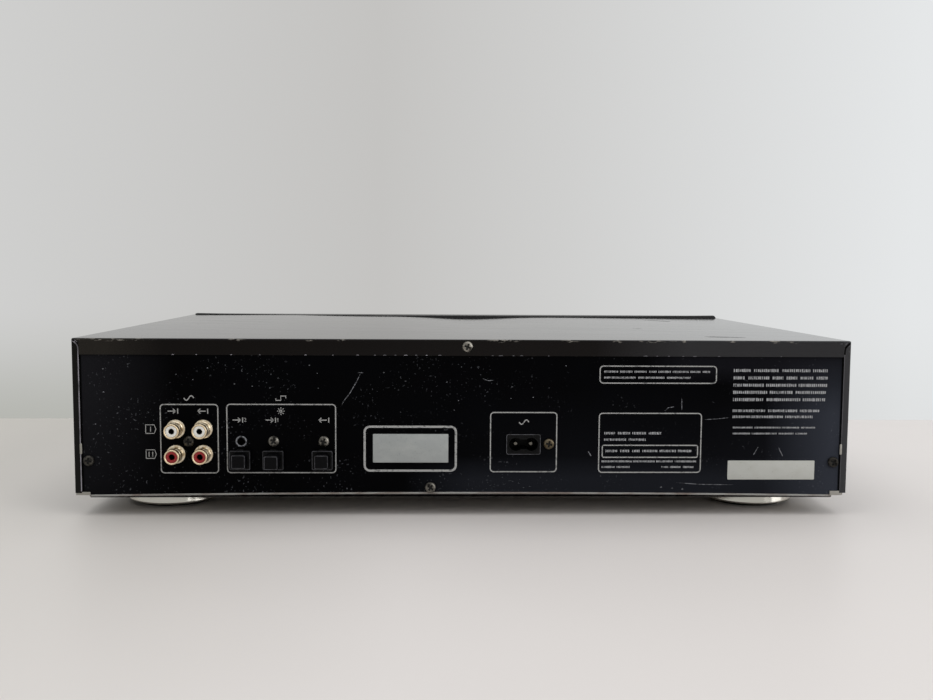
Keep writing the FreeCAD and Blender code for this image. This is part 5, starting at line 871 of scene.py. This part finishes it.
def crossScrew(turnDegrees):
    # polar grid: the head is height - 0.75 (r/edge)^4 less the recess, whose arms are box masks with soft walls, and
    # under it the shank steps in and out as a thread does
    edge = screws["radius"]
    radius = np.concatenate([np.linspace(0.02, 2.3, 32), [2.5, 2.65, 2.78, 2.88, 2.95, 2.99]])
    height = screws["height"] - 0.75 * (radius / edge) ** 4 - 0.28 * np.clip((radius - 2.5) / 0.49, 0, 1) ** 2
    turns = np.arange(24)
    tail = np.concatenate([[(edge, 0.7), (edge, 0.12), (edge - 0.08, 0), (1.5, 0)],
                           np.stack([np.take(screws["thread"], turns % 2), -0.2 - 0.25 * turns], -1),
                           [(0.5, -screws["length"]), (0.02, -screws["length"])]])
    radius, height = np.concatenate([radius, tail[:, 0]])[:, None], np.concatenate([height, tail[:, 1]])[:, None]
    angle = np.linspace(0, 2 * np.pi, 96, endpoint=False)[None, :]
    turned = angle - math.radians(turnDegrees)
    u, v = np.abs(radius * np.cos(turned)), np.abs(radius * np.sin(turned))
    soft, half, long = screws["soft"], screws["armHalf"], screws["armLong"]
    mask = np.max([np.clip((half - p) / soft + 0.5, 0, 1) * np.clip((long - q) / soft + 0.5, 0, 1)
                   for p, q in ((u, v), (v, u))], axis=0) * (height > 0.9)
    deep = screws["deep"] * (1 - 0.45 * np.clip(radius / long, 0, 1))
    return radius * np.cos(angle), radius * np.sin(angle), height - mask * deep, mask


heads, recessShade, bare = [], [], []
for x, z, seat, turn, share in screws["rear"]:
    u, v, h, mask = crossScrew(turn)
    heads.append(np.stack([x + u, seat + h, z + v], -1))
    recessShade.append(mask)
    bare.append(mask * 0 + share)
for side in (-1, 1):
    for y, turn in screws["sides"]:
        u, v, h, mask = crossScrew(turn + 10 * side)
        heads.append(np.stack([side * (cover["halfWidth"] + h), y + u, screws["sideZ"] + v], -1))
        recessShade.append(mask)
        bare.append(mask * 0 + screws["sideRubbed"])
crossed = makePiece("cross_head_screws", [joined(head, wrapped=True) for head in heads], screwSteel, "screw_steel",
                    recess=np.ravel(recessShade), rubbed=np.ravel(bare))
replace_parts(crossed, "panel_screws")

# mains inlet: the moulded mouth's raised lip, a figure of eight made of two arcs and straight waists; its section is
# (how far outwards, y)
inlet = dict(x=-32.6, z=40.6, lobe=3.7, pitch=8.6, waist=2.7,
             lip=[(0, 144.2), (0, 145.25), (0.15, 145.45), (0.55, 145.45), (0.7, 145.3), (0.7, 144.2)])


def figureEight(grow):
    # two circles joined by straight waists: each circle runs from the waist's height round to the other side
    r, half = inlet["lobe"] + grow, inlet["pitch"] / 2
    first = math.asin(min((inlet["waist"] + grow) / r, 1))
    a = np.linspace(-(np.pi - first), np.pi - first, 25)
    right = np.stack([half + r * np.cos(a), r * np.sin(a)], -1)
    return np.concatenate([right, -right]) + np.array([inlet["x"], inlet["z"]])


growth, depths = zip(*inlet["lip"])
mouthLip = joined(atDepths([figureEight(grow) for grow in growth], depths), wrapped=True)
makePiece("inlet_mouth_lips", [mouthLip], socketPbt, "black_moulding")

# painted highlights on the outer edges of the mouldings: fine pale rails round the inlet, the collars and each plug's
# face
edgeHighlightRails = [ringFrame((inlet["x"], inlet["z"]), 19.1, 11.4, 1.2, 0.32, (144.9, 145.06))]
edgeHighlightRails += [ringFrame((x, optical["z"]), *optical["size"], optical["corner"], 0.26, (148.3, 148.49))
          for x in optical["x"]]
makePiece("moulding_edge_highlights", edgeHighlightRails, mouldingEdgeHighlight, "black_moulding")
for number, (x, out) in enumerate(zip(optical["x"], optical["plugOut"]), 1):
    face, size = deck["panel"] + out, optical["plugFace"]
    faceHighlight = ringFrame((x, optical["z"]), size, size, 0.5, 0.24, (face - 0.03, face + 0.05))
    makePiece(f"plug_face_highlight_{number}", [faceHighlight], mouldingEdgeHighlight, "plug_plastic", f"optical_dust_plug_{number}")

# bare metal tabs of the pan, seen through the notches of the cover's returns, and the stepped ends of its upturned edge
tabs = [roundedBlock((side * 211.5, 38), 1.25, 6, (145.36, 145.56), 0.5, 0.1) for side in (-1, 1)]
makePiece("side_tabs", tabs, zincSteel, "bare_steel")
steps = [roundedBlock(middle, width, height, (144.62, 145.2), 0.25, 0.12)
         for middle, width, height in (((211, 12.85), 7.8, 1.75), ((-209.7, 13.05), 7.1, 2.45))]
makePiece("pan_end_steps", steps, zincSteel, "bare_steel")

# the pan's bend shows under the panel as a pale line, bowed up 1.5 * (1 - (x/207)^2) mm, with a strip of painted shade
# under it
sill = dict(x=(-207.2, 207.1), top=12.1, rise=1.5, pale=1, low=10.6)
along = np.linspace(*sill["x"], 33)
sillTop = sill["top"] + sill["rise"] * (1 - (along / 207) ** 2)


def sillStrip(low, high, y, edge=0.1):
    # a long strip between two lines of heights, its outer edges rounded over
    section = ((y[0], low), (y[1] - edge, low), (y[1], low + edge), (y[1], high - edge), (y[1] - edge, high),
               (y[0], high))
    return joined(np.stack([np.stack([along, 0 * along + depth, height], -1) for depth, height in section], 1))


pale = sillStrip(sillTop - sill["pale"], sillTop, (144.5, 144.78))
# painted shade: a dark strip standing for the shadow under the bend
under = sillStrip(sill["low"] + 0 * along, sillTop - sill["pale"] + 0.05, (144.2, 144.6))
makePiece("pan_bend", [pale], bendPaintedReflection, "bare_steel")
makePiece("pan_underside_shade", [under], undersidePaintedShade, "bare_steel")
print("sockets finished")

# feet: turned bright shell, a coved top, a hollow ring and a rolled lower lip, as (radius, z); the ring mark is the
# way along the profile, radius + z
foot = dict(x=172, y=(-78.6, 99.4), steps=96,
            outline=[(8.2, 11), (25.3, 11), (25.7, 10.8), (25.85, 10.4), (25.6, 10), (25.3, 9.7), (25.3, 9.3),
                     (25.6, 8.95), (26.1, 8.7), (26.4, 8.3), (26.75, 6.9), (27.05, 5.4), (27.3, 4.1), (27.45, 3.3),
                     (27.5, 2.9), (27.42, 2.45), (27.15, 2.12), (26.7, 2), (25.4, 2), (24.9, 2.2), (24.2, 2.6),
                     (22.2, 2.75), (22, 4.6), (9, 4.6), (8.2, 5.2)])
outline = np.array(foot["outline"])
run = np.concatenate([[0], np.cumsum(np.linalg.norm(np.diff(outline, axis=0), axis=1))])
along = np.unique(np.concatenate([np.linspace(0, run[-1], 90), run]).round(4))
profile = np.stack([np.interp(along, run, column) for column in outline.T], -1)
feet = [turnedShape(profile, (side * foot["x"], y, 0), "z", foot["steps"]) for side in (-1, 1) for y in foot["y"]]
ringMark = np.tile(np.repeat(profile.sum(axis=1), foot["steps"]), 4)
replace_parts(makePiece("turned_feet", feet, footShine, "bright_foot", ring=ringMark), "feet")
print("feet turned")

# front: icons printed on the keys, scales round the knobs, turned dial and knobs, cells of the display
faceInk = (deck["face"] - 0.035, deck["face"] + 0.02)
keys = dict(z=32, proud=2, icon=3.4, eject=(-22, 68.7),
            places={"play": 10, "pause": 34, "stop": 58, "record": 82, "skip_back": 106,
                    "skip_forward": 130})


def arrowHead(x, z, size, way, y=faceInk):
    # a triangle as tall as it is wide to within a tenth, pointing along X
    tip, back = x + way * size * 0.45, x - way * size * 0.45
    return plate([(back, z + size / 2), (tip, z), (back, z - size / 2)], y)


def disc(x, z, radius, y=faceInk, steps=24):
    # a flat many-sided circle
    return plate(onCircle(x, z, radius, np.linspace(0, 360, steps, endpoint=False)), y)


def bar(x, z, width, height, y=faceInk):
    # a flat rectangle about its middle
    return boxes((x - width / 2, y[0], z - height / 2), (x + width / 2, y[1], z + height / 2))


def keyIcon(name, x, z, y):
    # the plain sign of a key; a skip is two heads and a bar
    size, way = keys["icon"], -1 if name == "skip_back" else 1
    if name == "play":
        return [arrowHead(x, z, size, 1, y)]
    if name == "pause":
        return [bar(x + side * 0.85, z, 0.9, size, y) for side in (-1, 1)]
    if name == "stop":
        return [bar(x, z, size * 0.85, size * 0.85, y)]
    if name == "record":
        return [disc(x, z, size / 2, y)]
    return [arrowHead(x - way * 1.9, z, size, way, y), arrowHead(x + way * 1.1, z, size, way, y),
            bar(x + way * 3, z, 0.7, size, y)]


keyInkDepth = (faceInk[0] - keys["proud"], faceInk[1] - keys["proud"])
for name, x in keys["places"].items():
    makePiece(f"{name}_icon", keyIcon(name, x, keys["z"], keyInkDepth), recordInk if name == "record" else keyInk,
              body=f"{name}_button", smooth=False)
x, z = keys["eject"]
ejectIcon = [plate([(x - 1.9, z + 0.9), (x + 1.9, z + 0.9), (x, z + 3)], keyInkDepth),
             bar(x, z, 3.8, 0.7, keyInkDepth)]
makePiece("eject_icon", ejectIcon, keyInk, body="eject_button", smooth=False)

# scales: 11 ticks through 270 degrees and plain numerals; signs for the headphone socket, the timer's three places,
# the power key and the slot; and an arc with two heads over the dial
knobs = dict(radius=7.5, length=11.5, gap=0.5, z=30, ribs=30, scale=(225, -27), numerals=12.4,
             places={"record_level_knob": -50, "phones_level_knob": -88})
dial = dict(x=162, z=62, radius=21, length=13, gap=0.5, ribs=72, dimpleR=7, dimpleUp=11.5, dimple=1.6,
            arc=24.2, arcHalf=50)
signAt = dict(phones=(-118, 41), timer=(-150, 36.2), power=(-188, 43.2), slot=(-85, 77.8))
signs = []
for x in knobs["places"].values():
    first, step = knobs["scale"]
    signs += [ribbon(onCircle(x, knobs["z"], (9.2, 10.1) if k % 5 else (9, 10.6), first + step * k), 0.4, faceInk)
              for k in range(11)]
    signs += [writing(str(k), 1.9, onCircle(x, knobs["z"], knobs["numerals"], first + step * k), faceInk)
              for k in (0, 5, 10)]
x, z = signAt["phones"]
signs.append(ribbon(onCircle(x, z, 2.2, np.linspace(0, 180, 17)), 0.5, faceInk))
signs += [bar(x + side * 2.2, z - 0.7, 1, 2) for side in (-1, 1)]
x, z = signAt["timer"]
signs += [arrowHead(x - 4, z, 1.9, 1), ringFrame((x, z), 1.9, 1.9, 0.9, 0.4, faceInk), disc(x + 4, z, 0.95)]
x, z = signAt["power"]
signs += [ribbon(onCircle(x, z, 2, np.linspace(125, 415, 25)), 0.5, faceInk), bar(x, z + 1.6, 0.5, 2.2)]
x, z = signAt["slot"]
signs.append(ribbon([(x - 1.4, z + 1.2), (x, z), (x + 1.4, z + 1.2)], 0.45, faceInk))
arc = (dial["x"], dial["z"], dial["arc"])
signs.append(ribbon(onCircle(*arc, np.linspace(90 - dial["arcHalf"], 90 + dial["arcHalf"], 25)), 0.45, faceInk))
signs += [arrowHead(*onCircle(*arc, 90 - way * dial["arcHalf"]), 2.2, way) for way in (-1, 1)]
makePiece("front_scales", signs, keyInk, smooth=False)
print("front printed")


def gripRibs(count, edge, front, fade, depth, sharpness):
    # gives a ripple for turnedShape: ribs on the side only, which fade in from the front
    def ripple(angle, radius, along):
        # the radius is cut by depth * (0.5 + 0.5 cos(count * angle)) ^ sharpness
        side = np.clip((radius - edge + 0.3) / 0.3, 0, 1) * np.clip((along - front - fade) / 0.6, 0, 1)
        return -depth * side * (0.5 + 0.5 * np.cos(count * angle)) ** sharpness
    return ripple


# level knobs: turned body with fine ribs on its side, a rounded face and a white pointer line
start = deck["face"] - knobs["gap"]
front, r = start - knobs["length"], knobs["radius"]
shaft = [(2, start), (2, start + 11), (1.7, start + 11.3), (0.02, start + 11.3)]       # of knobs and dial alike
body = [(0.02, front + 0.35), (r - 2.4, front + 0.35), (r - 1.9, front + 0.1), (r - 1.5, front),
        (r - 1, front + 0.05), (r - 0.45, front + 0.3), (r - 0.12, front + 0.75), (r, front + 1.2), (r, front + 2.5),
        (r, front + 5), (r, start - 1.2), (r, start - 0.5), (r - 0.3, start - 0.1), (r - 0.8, start)] + shaft
ribs = gripRibs(knobs["ribs"], r, front, 1, 0.28, 2)
for name, x in knobs["places"].items():
    knob = turnedShape(body, (x, 0, knobs["z"]), steps=240, ripple=ribs)
    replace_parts(makePiece(f"{name}_turned", [knob], keyAbs, "key_plastic", name), name)
    pointer = [bar(x, knobs["z"] + 4.1, 0.9, 4.4, (front + 0.22, front + 0.4)),
               bar(x, knobs["z"] + 7.42, 0.8, 0.3, (front + 1.2, front + 6.5))]
    makePiece(f"{name}_pointer", pointer, keyInk, body=name, smooth=False)

# jog dial: ribbed rim, brushed face plate with a finger dimple
start = deck["face"] - dial["gap"]
front, r = start - dial["length"], dial["radius"]
body = [(17.9, front + 0.6), (18.3, front + 0.2), (18.8, front), (19.6, front + 0.08), (20.4, front + 0.5),
        (20.85, front + 1.1), (r, front + 1.8), (r, front + 3), (r, front + 7), (r, start - 1.6), (r, start - 0.7),
        (r - 0.5, start - 0.15), (r - 1.2, start)] + shaft + [(0.02, front + 2.4), (17.9, front + 2.4)]
rim = turnedShape(body, (dial["x"], 0, dial["z"]), steps=432, ripple=gripRibs(dial["ribs"], r, front, 1.6, 0.42, 3))
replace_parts(makePiece("jog_dial_turned", [rim], keyAbs, "key_plastic", "jog_dial"), "jog_dial")
# face plate: rings of points pushed back by depth * (1 - (d/R)^2)^1.5 inside the dimple
radii = np.concatenate([[0.05], np.linspace(0.6, 17.3, 40), [17.6, 17.75]])
angles = np.linspace(0, 2 * np.pi, 120, endpoint=False)
px, pz = dial["x"] + radii[:, None] * np.cos(angles), dial["z"] + radii[:, None] * np.sin(angles)
d = np.hypot(px - dial["x"], pz - dial["z"] - dial["dimpleUp"] + 1) / (dial["dimpleR"] - 1)
dish = dial["dimple"] * np.clip(1 - d ** 2, 0, None) ** 1.5
edgeDrop = np.where(radii > 17.5, (radii - 17.5) * 0.9, 0)[:, None]
top = np.stack([px, front + 0.45 + dish + edgeDrop, pz], -1)
under = np.stack([px, 0 * px + front + 2.35, pz], -1)[[-1, 0]]
dialFace = joined(np.concatenate([top, under]), wrapped=True)
makePiece("jog_dial_face", [dialFace], trimMetal, body="jog_dial", sharp=40)
print("dial and knobs turned")

# display: unlit cells behind the window, two level rows, a row of seven-bar digits and a colon; the digits come in two
# groups of four, the second moved over by split
cells = dict(y=(-135.66, -135.6), left=10, right=96, count=34, levels=(77.2, 74.2), wide=1.9, tall=1.8,
             digitZ=64.5, digitH=9, digitW=5.4, firstDigit=12, pitch=10.6, split=3,
             colon=[(55.7, 66.4), (55.7, 62.6)])
wide, tall = cells["wide"], cells["tall"]
unlit = []
for z in cells["levels"]:
    x = np.linspace(cells["left"], cells["right"], cells["count"])
    low = np.stack([x - wide / 2, 0 * x + cells["y"][0], 0 * x + z - tall / 2], -1)
    unlit.append(boxes(low, low + [wide, cells["y"][1] - cells["y"][0], tall]))
for k in range(8):
    # seven bars of a digit, all shown because none is lit
    x = cells["firstDigit"] + cells["pitch"] * k + (cells["split"] if k > 3 else 0)
    w, h = cells["digitW"] / 2 * 0.82, cells["digitH"] / 2 * 0.88
    spans = [((-w, h), (w, h)), ((-w, 0), (w, 0)), ((-w, -h), (w, -h)), ((-w, h), (-w, 0)), ((w, h), (w, 0)),
             ((-w, 0), (-w, -h)), ((w, 0), (w, -h))]
    unlit += [ribbon(np.array(span) + [x, cells["digitZ"]], 0.8, cells["y"]) for span in spans]
unlit += [disc(x, z, 0.7, cells["y"], 12) for x, z in cells["colon"]]
makePiece("display_cells", unlit, phosphor, smooth=False)

# window bezel: a slim satin frame standing a little ahead of the face; a bright thin trim line low on the front; and
# the power key's domed lamp
bezel = ringFrame((50, 70), 119.6, 29.6, 1.6, 1.75, (deck["face"] + 0.3, deck["face"] - 0.5))
makePiece("window_bezel", [bezel], keyAbs, "front_plastic")
trim = roundedBlock((0, 16.2), 418, 1.3, (deck["face"] + 0.3, deck["face"] - 0.45), 0.6, 0.25)
makePiece("front_trim_line", [trim], trimMetal)
dome = [(radius, deck["face"] + y)
        for radius, y in ((0.02, -0.9), (0.7, -0.8), (1.2, -0.45), (1.4, 0), (1.4, 1), (0.02, 1))]
makePiece("power_lamp_lens", [turnedShape(dome, (-168, 0, 32), steps=32)], lampRed)
print("front finished")

# plain pale shelf and wall: the shelf has painted shade towards +X; the wall glows with painted light and shade, shows
# only from in front of it, casts no shadow and sends no light
room = dict(floor="#D6D1CD", shadedFloor="#BFBBB4", sky="#D6D6D4", wallY=-0.21, wallTop=0.62, wallHalf=0.9,
            wall=[(0, "#CFCFCE"), (0.42, "#C4C3C1"), (0.62, "#CFCFCE"), (1, "#E5E7E8")], wallFootShade="#AEAFA8")


def stagePlane(name, corners, look):
    # one flat quad of the stage
    data = bpy.data.meshes.new(name)
    data.from_pydata(corners, [], [(0, 1, 2, 3)])
    data.materials.append(look)
    plane = bpy.data.objects.new(name, data)
    bpy.context.scene.collection.objects.link(plane)
    return plane


floorLook = newLook("lacqueredShelf", room["floor"], 0.42, Specular_IOR_Level=0.25)
roughen(mottle(180, 0.4, 0.7), 0.5)
# painted shade: the shelf darkens towards +X
tint(beyond("X", 30, 330), room["shadedFloor"])
stagePlane("shelf", [(-4, -4, 0), (4, -4, 0), (4, 4, 0), (-4, 4, 0)], floorLook)

wallLook = bpy.data.materials.new("glowingWallPaintedLight")
wallLook.use_nodes = True
current["tree"] = wallLook.node_tree
current["tree"].nodes.clear()
current["where"] = addNode("TexCoord", out="Object")
# painted light and shade: the wall glows brighter towards -X, with a painted shadow of the deck in the middle
across = beyond("X", 430, -430)
shades = addNode("ValToRGB", {0: across})
stops = shades.node.color_ramp.elements
for place, tone in room["wall"]:
    stops.new(place * 0.98 + 0.01).color = linear(tone)
stops.remove(stops[-1])
stops.remove(stops[0])
# painted shade at the wall's foot, deepest on the +X side
height = addNode("SeparateXYZ", {0: current["where"]}, "Z")
footShade = addNode("MapRange", {0: height, 1: 0.11, 2: -0.02, 3: 0, 4: 0.85}, interpolation_type="SMOOTHSTEP")
fade = addNode("Math", {0: footShade, 1: addNode("MapRange", {0: across, 1: 1.15, 2: 0.1})}, operation="MULTIPLY")
tone = addNode("Mix", {0: fade, 6: shades, 7: linear(room["wallFootShade"])}, 2, data_type="RGBA")
glow = addNode("Emission", {"Color": tone, "Strength": 1})
behind = addNode("NewGeometry", out="Backfacing")
addNode("OutputMaterial", {0: addNode("MixShader", {0: behind, 1: glow, 2: addNode("BsdfTransparent")})})
y, top, half = room["wallY"], room["wallTop"], room["wallHalf"]
wall = stagePlane("wall", [(half, y, 0), (-half, y, 0), (-half, y, top), (half, y, top)], wallLook)
wall.visible_shadow = wall.visible_diffuse = False

# the world: soft daylight, bright at the zenith and falling off towards the horizon; the camera, metal and glass see
# one plain tone instead
world = bpy.data.worlds.new("studio")
bpy.context.scene.world = world
world.use_nodes = True
current["tree"] = world.node_tree
current["tree"].nodes.clear()
height = addNode("SeparateXYZ", {0: addNode("TexCoord", out="Generated")}, "Z")
level = addNode("MapRange", {0: height, 1: 0, 2: 0.9, 3: 0.12, 4: 0.82})
daylight = addNode("Background", {"Color": linear("#FBFCFF"), "Strength": level})
plain = addNode("Background", {"Color": linear(room["sky"]), "Strength": 1})
rays = addNode("LightPath", out="Is Camera Ray").node.outputs
seen = addNode("Math", {0: rays["Is Camera Ray"], 1: rays["Is Glossy Ray"]}, operation="MAXIMUM")
seen = addNode("Math", {0: seen, 1: rays["Is Transmission Ray"]}, operation="MAXIMUM")
addNode("OutputWorld", {0: addNode("MixShader", {0: seen, 1: daylight, 2: plain})})


def axesAt(x, y, z, place):
    # a matrix from three axes and a place
    return Matrix([[x[k], y[k], z[k], place[k]] for k in range(3)] + [[0, 0, 0, 1]])


def softbox(name, place, target, width, height, watts):
    # a rectangular lamp whose -Z looks from its place to the target; one that hangs overhead keeps its side along X
    light = bpy.data.lights.new(name, "AREA")
    light.shape, light.size, light.size_y, light.energy = "RECTANGLE", width, height, watts
    lamp = bpy.data.objects.new(name, light)
    bpy.context.scene.collection.objects.link(lamp)
    back = np.array(place) - np.array(target)
    back = back / np.linalg.norm(back)
    side = np.cross([0, 0, 1], back) if abs(back[2]) < 0.99 else np.array([1, 0, 0])
    side = side / np.linalg.norm(side)
    lamp.matrix_world = axesAt(side, np.cross(back, side), back, place)


# a window at the camera's right, a ceiling, a low window for the feet and the hem, and a fill for the front
softbox("window", (-1.6, 1.2, 0.9), (0, 0.1, 0.05), 1.4, 1.2, 14)
softbox("ceiling", (0.1, 0.2, 1.8), (0, 0, 0), 2.2, 2.2, 16)
softbox("lowWindow", (-1.75, 0.72, 0.27), (-0.1, 0.1, 0), 0.95, 0.5, 2.1)
softbox("frontFill", (1, -1.8, 1.2), (0, -0.1, 0.05), 1.4, 1, 8)

# camera: a hand-held view of the rear, almost level; its angles are in radians
view = dict(place=(0.014664, 0.67987, 0.137332), lens=37.508, yaw=0.02832, pitch=0.08207, roll=0.00617)
yaw, pitch, roll = view["yaw"], view["pitch"], view["roll"]
ahead = np.array([-math.sin(yaw) * math.cos(pitch), -math.cos(yaw) * math.cos(pitch), -math.sin(pitch)])
level = np.array([-math.cos(yaw), math.sin(yaw), 0])
above = np.cross(level, ahead)
right, upward = level * math.cos(roll) + above * math.sin(roll), above * math.cos(roll) - level * math.sin(roll)
lens = bpy.data.cameras.new("rear")
lens.lens, lens.sensor_width, lens.sensor_fit = view["lens"], 36, "HORIZONTAL"
lens.clip_start, lens.clip_end = 0.01, 50
camera = bpy.data.objects.new("rear", lens)
bpy.context.scene.collection.objects.link(camera)
camera.matrix_world = axesAt(right, upward, -ahead, view["place"])
bpy.context.scene.camera = camera
bpy.context.scene.view_settings.view_transform = "Standard"
print("stage lit")
